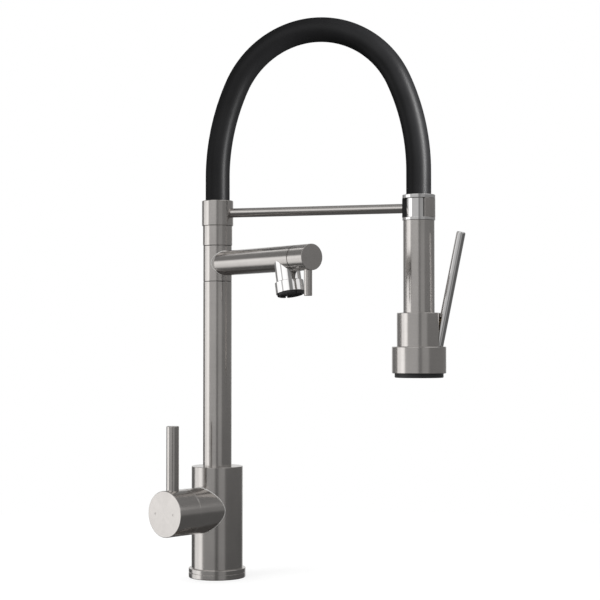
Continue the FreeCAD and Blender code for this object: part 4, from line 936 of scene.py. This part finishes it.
def make_spout():
    """The swivel ring with its arm, the tilted outlet, and the knob at the arm's end."""
    low, high = heights("spout_arm")
    axis = joint_axis("knob_turn")
    origin = Vector((0, 0, joint_point("spout_swivel").z))
    frame_of_arm = axis_frame(origin, axis)
    ring_radius = radii("column_tube", ORIGIN, UP)[1]
    bore = radii("spout_arm", ORIGIN, UP)[0]
    arm_radius = radii("knob_cap", origin, axis)[1]
    reach = span("spout_arm", origin, axis)[1]
    arm_bore = radii("spout_valve", origin, axis)[1] + FIT
    ring = Turned(rounded([(bore, low), (ring_radius, low, FINE), (ring_radius, high, FINE), (bore, high)]))
    arm = Turned([(0, bore + MM), (arm_radius, bore + MM), (arm_radius, reach - GROOVE_HALF),
                  (arm_radius - GROOVE_DEPTH, reach - GROOVE_HALF), (arm_radius - GROOVE_DEPTH, reach),
                  (0, reach)],
                 frame_of_arm)
    hollow = shaft(arm_bore, ring_radius + 6 * MM, reach + MM, frame_of_arm)
    piece = fuse(ring.object("spout_shell"), arm.object("arm"))
    piece = cut(piece, hollow.object("hollow"))
    finish_surface(piece, ring, arm, hollow)
    place(piece, "spout", "brushed_steel", "spout_arm")
    seam_bead("arm_seam", "spout", "polished_steel", frame_of_arm, arm_radius, ring_radius, 0.5 * MM)
    make_outlet(frame_of_arm, arm_radius)
    make_knob(frame_of_arm, origin, axis, arm_radius)


def outlet_frame():
    """The outlet's axis, from the aerator ring's two end faces."""
    centre = middle(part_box("aerator_ring"))
    axis = joint_axis("knob_turn")
    origin = Vector((0, 0, joint_point("spout_swivel").z))
    points = vertices("aerator_ring") - np.array(centre)
    _, _, directions = np.linalg.svd(points - points.mean(axis=0), full_matrices=False)
    ring_axis = Vector(directions[-1])
    if ring_axis.z > 0:
        ring_axis = -ring_axis
    drop = (origin.z - centre.z) / -ring_axis.z
    start = centre - ring_axis * drop
    return start, ring_axis, axis_frame(start, ring_axis, axis)


def make_outlet(frame_of_arm, arm_radius):
    start, down, frame_down = outlet_frame()
    outer, inner = radii("outlet_neck", start, down)[1], radii("outlet_neck", start, down)[0]
    bottom = span("outlet_neck", start, down)[1]
    neck = Turned([(inner, 0), (outer, 0), (outer, bottom), (inner, bottom)], frame_down)
    saddle = shaft(arm_radius, -0.05, 0.2, frame_of_arm)
    piece = cut(neck.object("outlet"), saddle.object("saddle"))
    finish_surface(piece, neck, saddle)
    place(piece, "spout", "polished_steel", "outlet_neck")
    top, end = span("aerator_ring", start, down)
    ring_outer = radii("aerator_ring", start, down)[1]
    seat = radii("aerator_insert", start, down)[1] + FIT
    step = span("outlet_neck", start, down)[1] + MM
    corners = [(outer + FIT, top), (ring_outer, top, 0.5 * MM), (ring_outer, end, 0.6 * MM),
               (seat, end), (seat, step), (outer + FIT, step)]
    turned_piece("aerator_shell", corners, "spout", "polished_steel", ["aerator_ring"], frame_down)
    insert_top, insert_end = span("aerator_insert", start, down)
    rim = radii("aerator_insert", start, down)[1]
    bowl = rim - 2.4 * MM
    dish = 1.6 * MM
    body = Turned(rounded([(0, insert_top), (rim, insert_top), (rim, insert_end, 0.4 * MM),
                           (bowl, insert_end, 0.4 * MM), (bowl, insert_end - dish, 0.3 * MM),
                           (0, insert_end - dish)]), frame_down)
    piece = body.object("aerator_nozzle")
    notches = [block("notch", (bowl - 0.5 * MM, -1.1 * MM, insert_end - dish),
                     (rim + MM, 1.1 * MM, insert_end + MM),
                     frame_down @ Matrix.Rotation(math.radians(15 + 90 * i), 4, "Z")) for i in range(4)]
    jets = []
    for ring_radius, count in ((2.6 * MM, 6), (5.6 * MM, 12)):
        for i in range(count):
            angle = math.tau * (i + 0.5) / count
            at = Matrix.Translation((ring_radius * math.cos(angle), ring_radius * math.sin(angle), 0))
            jets.append(shaft(0.75 * MM, insert_end - dish - 3 * MM, insert_end + MM, frame_down @ at,
                               around=24))
    piece = cut(piece, *notches)
    piece = cut(piece, *[jet.object("jet") for jet in jets])
    finish_surface(piece, body, *jets)
    place(piece, "spout", "black_plastic", "aerator_insert")


def make_knob(frame_of_arm, origin, axis, radius):
    start, end = span("knob_cap", origin, axis)
    spindle = radii("knob_spindle", origin, axis)[1] + FIT
    depth = span("knob_spindle", origin, axis)[1]
    cap = Turned(rounded([(spindle, start), (radius - GROOVE_DEPTH, start),
                          (radius - GROOVE_DEPTH, start + GROOVE_HALF),
                          (radius, start + GROOVE_HALF), (radius, end, 0.3 * MM), (0, end),
                          (0, depth), (spindle, depth)]), frame_of_arm)
    piece = cap.object("knob_shell")
    low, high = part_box("knob_pin")
    centre = middle((low, high))
    pin_frame = upright_at(centre)
    pin_radius = radii("knob_pin", (centre.x, centre.y, 0), UP)[1]
    hole = shaft(pin_radius + FIT, 0.2, high.z, pin_frame)
    piece = cut(piece, hole.object("pin_hole"))
    grub_frame = upright_at(middle(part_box("knob_grub_screw")))
    access = shaft(1.55 * MM, origin.z, origin.z + 0.1, grub_frame, around=48)
    piece = cut(piece, access.object("grub_hole"))
    finish_surface(piece, cap, hole, access)
    place(piece, "spout_knob", "brushed_steel", "knob_cap")
    corners = [(0, low.z), (pin_radius, low.z, 0.6 * MM), (pin_radius, high.z), (0, high.z)]
    turned_piece("knob_pin_bar", corners, "spout_knob", "brushed_steel", ["knob_pin"], pin_frame)


def make_column_top():
    """The sleeve above the spout's ring, and the collar that holds the hose and the rod."""
    low, high = heights("upper_sleeve")
    inner, outer = radii("upper_sleeve", ORIGIN, UP)
    corners = [(inner, low), (outer, low, FINE), (outer, high, FINE), (inner, high)]
    turned_piece("sleeve", corners, "arch", "brushed_steel", ["upper_sleeve"])
    low, high = heights("top_collar")
    outer = radii("top_collar", ORIGIN, UP)[1]
    pocket = hose_sizes()[1] + 0.3 * MM
    floor = low + 2.4 * MM
    shell = Turned(rounded([(inner, low), (outer, low, 0.6 * MM), (outer, high, 0.8 * MM),
                            (pocket, high, 0.4 * MM),
                            (pocket, floor), (inner, floor)]))
    rod_frame = rod_axis()
    rod_radius = radii("support_rod", rod_frame.translation, (1, 0, 0))[1]
    hole = shaft(rod_radius + FIT, outer - 2.75 * MM, outer + 0.02, rod_frame)
    piece = cut(shell.object("collar"), hole.object("rod_hole"))
    finish_surface(piece, shell, hole)
    place(piece, "arch", "brushed_steel", "top_collar")


def rod_axis():
    low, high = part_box("support_rod")
    return axis_frame((0, 0, (low.z + high.z) / 2), Vector((1, 0, 0)))


def spray_origin():
    at = joint_point("spray_turn")
    return Vector((at.x, at.y, 0))


def make_rod():
    frame_of_rod = rod_axis()
    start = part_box("support_rod")[0].x
    radius = radii("support_rod", frame_of_rod.translation, (1, 0, 0))[1]
    centre = spray_origin()
    clip_radius = radii("dock_clip", centre, UP)[1] + FIT
    bar = shaft(radius, start, centre.x, frame_of_rod)
    saddle = shaft(clip_radius, 0.3, 0.4, Matrix.Translation(centre))
    piece = cut(bar.object("rod"), saddle.object("saddle"))
    finish_surface(piece, bar, saddle)
    place(piece, "arch", "brushed_steel", "support_rod")


CLIP_MOUTH_START = -55.0    # azimuths of the clip's jaw about the spray's axis, in degrees
CLIP_STEEL_END = 188.0
CLIP_MOUTH_END = 202.0


def make_dock_clip():
    """The steel jaw at the rod's end, and its black liner, which shows as one full-thickness tip."""
    centre = Matrix.Translation(spray_origin())
    low, high = heights("dock_clip")
    inner, outer = radii("dock_clip", spray_origin(), UP)
    liner_inner = radii("dock_liner", spray_origin(), UP)[0]
    shell = Turned(rounded([(inner, low), (outer, low, FINE), (outer, high, FINE), (inner, high)]),
                   centre, CLIP_MOUTH_START, CLIP_STEEL_END)
    piece = finish_surface(shell.object("clip_shell"), shell)
    place(piece, "arch", "brushed_steel", "dock_clip")
    jaw = Turned([(liner_inner, low), (inner - FIT, low), (inner - FIT, high), (liner_inner, high)],
                 centre, CLIP_MOUTH_START, CLIP_MOUTH_END)
    tip = Turned(rounded([(liner_inner, low), (outer, low, FINE), (outer, high, FINE), (liner_inner, high)]),
                 centre, CLIP_STEEL_END + 0.2, CLIP_MOUTH_END)
    piece = fuse(jaw.object("clip_liner"), tip.object("tip"))
    head = radii("clip_screw", rod_axis().translation, (1, 0, 0))[1] + FIT
    hole = shaft(head, 0.1, spray_origin().x, rod_axis(), around=64)
    piece = cut(piece, hole.object("screw_hole"))
    finish_surface(piece, jaw, tip, hole)
    place(piece, "arch", "nylon", "dock_liner")


def make_spool():
    centre = spray_origin()
    low, high = heights("dock_spool")
    clip_low, clip_high = heights("dock_clip")
    neck_low, neck_high = clip_low - FIT, clip_high + FIT
    tube_top = heights("grip_tube")[1]
    flange = radii("dock_spool", centre, UP)[1]
    neck = radii("dock_liner", centre, UP)[0] - FIT
    stem = radii("dock_spool", centre, UP)[0]
    spigot = radii("grip_tube", centre, UP)[0] - FIT
    socket = hose_sizes()[1] + 0.3 * MM
    hose_low = span("hose_end_ferrule", centre, UP)[0] - 0.3 * MM
    pocket = radii("swivel_clip", centre, UP)[1] + FIT
    floor = joint_point("spray_turn").z
    corners = [
        (stem, low), (spigot, low), (spigot, tube_top), (flange, tube_top, 0.3 * MM),
        (flange, neck_low, 0.35 * MM), (neck, neck_low, 0.3 * MM), (neck, neck_high, 0.3 * MM),
        (flange, neck_high, 0.35 * MM), (flange, high, 0.6 * MM), (socket, high, 0.2 * MM),
        (socket, hose_low),
        (pocket, hose_low), (pocket, floor), (stem, floor),
    ]
    turned_piece("spool", corners, "spray", "polished_steel", ["dock_spool"], Matrix.Translation(centre))


def lever_slot(low, high):
    centre = spray_origin()
    far = radii("spray_face", centre, UP)[1] + 0.3 * MM
    return block("slot", (centre.x + 10.6 * MM, -5.25 * MM, low), (centre.x + far, 5.25 * MM, high))


def make_spray():
    """Grip tube, slotted collar, bell and black face, all turned about the spray's axis."""
    centre = spray_origin()
    at = Matrix.Translation(centre)
    low, high = heights("grip_tube")
    inner, outer = radii("grip_tube", centre, UP)
    turned_piece("grip", [(inner, low), (outer, low), (outer, high, FINE), (inner, high)],
                 "spray", "brushed_steel", ["grip_tube"], at)
    low, high = heights("spray_collar")
    hole, wide = radii("spray_collar", centre, UP)
    wall = 2.5 * MM
    shell = Turned(rounded([(wide - wall, low), (wide, low), (wide, high, 0.7 * MM), (hole, high),
                            (hole, high - WEB), (wide - wall, high - WEB)]), at)
    tool = lever_slot(low - MM, high + MM)
    core = shaft(outer + 0.3 * MM, low - 2 * MM, high + 2 * MM, at).object("core")
    tool = add_cut(tool, core, "DIFFERENCE")
    piece = cut(shell.object("lower_collar"), tool)
    finish_surface(piece, shell)
    place(piece, "spray", "brushed_steel", "spray_collar")
    low, high = heights("spray_bell")
    hole, wide = radii("spray_bell", centre, UP)
    wall = 2.3 * MM
    shell = Turned(rounded([(hole, high), (wide, high, 0.9 * MM), (wide, low, 0.6 * MM),
                            (wide - wall, low, 0.4 * MM),
                            (wide - wall, high - WEB), (hole, high - WEB)]), at)
    piece = cut(shell.object("bell"), lever_slot(high - WEB - MM, high + MM))
    finish_surface(piece, shell)
    place(piece, "spray", "brushed_steel", "spray_bell")
    make_face(centre, at)


def make_face(centre, at):
    low, high = heights("spray_face")
    wide = radii("spray_face", centre, UP)[1]
    hub = radii("spray_valve_body", centre, UP, low, heights("spray_bell")[0] + MM)[1] + FIT
    plate = low + WEB
    skirt = 2.2 * MM
    bell_low = heights("spray_bell")[0]
    shell = Turned(rounded([(0, low), (wide, low, 0.9 * MM), (wide, high), (wide - skirt, high),
                            (wide - skirt, plate),
                            (hub + skirt, plate), (hub + skirt, high), (hub, high), (hub, bell_low),
                            (hub - MM, plate), (0, plate)]), at)
    piece = shell.object("jet_face")
    jets = []
    for ring_radius, count in ((9.5 * MM, 8), (17.5 * MM, 16)):
        for i in range(count):
            angle = math.tau * i / count
            hole_at = Matrix.Translation((ring_radius * math.cos(angle), ring_radius * math.sin(angle), 0))
            jets.append(shaft(0.9 * MM, low - MM, plate + MM, at @ hole_at, around=24))
    piece = cut(piece, *[jet.object("jet") for jet in jets])
    finish_surface(piece, shell, *jets)
    place(piece, "spray", "black_plastic", "spray_face")


def make_lever():
    """The long round spray lever, flattened and drilled at its foot."""
    pivot = joint_point("trigger_squeeze")
    points = vertices("spray_lever")
    top = points[points[:, 2] > points[:, 2].max() - 0.02].mean(axis=0)
    direction = (Vector(top) - pivot)
    direction.y = 0
    direction.normalize()
    frame_up = axis_frame(pivot, direction, Vector((1, 0, 0)))
    low, high = span("spray_lever", pivot, direction)
    radius = radii("spray_lever", pivot, direction)[1]
    bar = Turned(rounded([(0, low), (radius, low, 1.6 * MM), (radius, high, 1.2 * MM), (0, high)]), frame_up)
    piece = bar.object("lever")
    flat = 3.9 * MM
    for side in (-1, 1):
        near, far = sorted((side * flat, side * 0.02))
        piece = cut(piece, block("flat", (-0.02, near, low - MM), (0.02, far, 4.6 * MM), frame_up))
    eye = shaft(1.55 * MM, -0.02, 0.02,
                 axis_frame(pivot, Vector((0, 1, 0)), Vector((1, 0, 0))), around=48)
    piece = cut(piece, eye.object("eye"))
    finish_surface(piece, bar, eye)
    place(piece, "trigger", "polished_steel", "spray_lever")


def make_spring():
    """The plunger's return spring: the plunger presses one end, and the other stays in the spray's body."""
    centre = middle(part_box("plunger_spring"))
    axis = Vector((1, 0, 0))
    start, end = span("plunger_spring", centre, axis)
    outer = radii("plunger_spring", centre, axis)[1]
    wire = 0.4 * MM
    coil_radius = outer - wire
    turns, per_turn, sides = 4, 48, 16
    steps = turns * per_turn
    frame_of_coil = axis_frame(centre, axis)
    mesh = bmesh.new()
    rows = []
    for i in range(steps + 1):
        angle = math.tau * i / per_turn
        along = start + wire + (end - start - 2 * wire) * i / steps
        out = Vector((math.cos(angle), math.sin(angle), 0))
        rows.append([mesh.verts.new(out * (coil_radius + wire * math.cos(math.tau * k / sides))
                                    + Vector((0, 0, along + wire * math.sin(math.tau * k / sides))))
                     for k in range(sides)])
    skin(mesh, rows)
    mesh.faces.new(rows[0])
    mesh.faces.new(rows[-1])
    bmesh.ops.recalc_face_normals(mesh, faces=mesh.faces)
    mesh.transform(frame_of_coil)
    spring = linked_piece("return_spring", mesh, smooth=True)
    spring.data.set_sharp_from_angle(angle=math.radians(60))
    spring.data.materials.append(MATERIALS["steel_hardware"])
    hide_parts("plunger_spring")
    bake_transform(spring)


# ================================================================== hose
HOSE_SIDES = 72
HOSE_STEP = 2.0 * MM
CROWN_RADIUS = 89.6 * MM
CROWN_ANGLE = 65.0          # degrees each side of the apex


def leg_ends(node):
    """The foot of a hose on the column's side and on the spray's side, as two heights."""
    points = vertices(node)
    near = points[:, 0] < spray_origin().x / 2
    return float(points[near, 2].min()), float(points[~near, 2].min())


def arch_line(start, end):
    """A hose's centreline as points. Its uprights, shoulders and crown are tangent."""
    reach = spray_origin().x
    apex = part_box("hose_sleeve")[1].z - hose_sizes()[1]
    crown = math.radians(CROWN_ANGLE)
    shoulder = (reach / 2 - CROWN_RADIUS * math.sin(crown)) / (1 - math.sin(crown))
    upright = apex - CROWN_RADIUS * (1 - math.cos(crown)) - shoulder * math.cos(crown)
    bend = math.pi / 2 - crown
    crown_centre = Vector((reach / 2, 0, apex - CROWN_RADIUS))
    stretches = [
        (upright - start, lambda t: Vector((0, 0, start + (upright - start) * t))),
        (shoulder * bend, lambda t: Vector((shoulder * (1 - math.cos(bend * t)), 0,
                                            upright + shoulder * math.sin(bend * t)))),
        (CROWN_RADIUS * 2 * crown, lambda t: crown_centre + CROWN_RADIUS * Vector(
            (-math.sin(crown - 2 * crown * t), 0, math.cos(crown - 2 * crown * t)))),
        (shoulder * bend, lambda t: Vector((reach - shoulder * (1 - math.cos(bend * (1 - t))), 0,
                                            upright + shoulder * math.sin(bend * (1 - t))))),
        (upright - end, lambda t: Vector((reach, 0, upright + (end - upright) * t))),
    ]
    points = []
    for length, at in stretches:
        count = max(2, round(length / HOSE_STEP))
        points += [at(i / count) for i in range(count)]
    points.append(Vector((reach, 0, end)))
    return points


def make_hose(name, node, slot, radius, bore, start, end):
    points = arch_line(start, end)
    mesh = bmesh.new()
    rings = {"outer": [], "inner": []}
    for i, point in enumerate(points):
        along = (points[min(i + 1, len(points) - 1)] - points[max(i - 1, 0)]).normalized()
        side = Vector((0, 1, 0))
        out = side.cross(along)
        for key, size in (("outer", radius), ("inner", bore)):
            rings[key].append([mesh.verts.new(point + (out * math.cos(math.tau * k / HOSE_SIDES)
                                                       + side * math.sin(math.tau * k / HOSE_SIDES)) * size)
                               for k in range(HOSE_SIDES)])
    for rows in rings.values():
        skin(mesh, rows)
    for i in (0, -1):
        skin(mesh, [rings["outer"][i], rings["inner"][i]])
    bmesh.ops.recalc_face_normals(mesh, faces=mesh.faces)
    hose = linked_piece(name, mesh, smooth=True)
    hose.data.materials.append(MATERIALS[slot])
    hose.data.set_sharp_from_angle(angle=math.radians(40))
    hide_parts(node)
    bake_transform(hose)
    return hose


def make_hoses():
    """The black sleeve and the water hose inside it, built as one fixed arch for the spray in its clip."""
    start, end = leg_ends("inner_hose")
    foot_bore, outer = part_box("inner_hose")[0].z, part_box("inner_hose")[1].y
    bore = radii("inner_hose", ORIGIN, UP, foot_bore, foot_bore + MM)[0]
    make_hose("water_hose", "inner_hose", "inner_hose_rubber", outer, bore, start, end)
    bore, outer = hose_sizes()
    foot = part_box("hose_sleeve")[0].z
    return make_hose("hose", "hose_sleeve", "hose_rubber", outer, bore, foot, heights("hose_end_ferrule")[0])


def light_hose(hose):
    """A narrow strip beside the spray that only the rubber answers, for its soft line of sheen."""
    strip = area_lamp("hose_strip", (0.52, -0.105, 0.52), (0.2, 0, 0.44), (0.05, 0.36), 6.0)
    strip.visible_camera = False
    receivers = bpy.data.collections.new("hose_strip_lights")
    receivers.objects.link(hose)
    strip.light_linking.receiver_collection = receivers


def dress_cad():
    """Gives each CAD node that still shows, or that a cut-away would show, the material of its slot."""
    slots = {part["node"]: part["material_slot"] for part in frame["record"]["subparts"]}
    for name, node in frame["nodes"].items():
        node.data.materials.clear()
        node.data.materials.append(MATERIALS[slots[name]])
        for polygon in node.data.polygons:
            polygon.use_smooth = True
        node.data.set_sharp_from_angle(angle=math.radians(SMOOTH_ANGLE))


make_studio()
dress_cad()
make_flange()
barrel, barrel_radius, body_radius = make_body()
seam_bead("barrel_seam", "base", "polished_steel", barrel, barrel_radius, body_radius, 0.6 * MM)
make_column()
make_shank()
make_horseshoe("fixing_seal", "clamp_seal", "seal_rubber", 0.4 * MM)
make_horseshoe("fixing_washer", "clamp_washer", "steel_hardware", 0.3 * MM)
make_nut()
make_handle(barrel, barrel_radius)
make_spout()
make_column_top()
make_rod()
make_dock_clip()
make_spool()
make_spray()
make_lever()
make_spring()
light_hose(make_hoses())
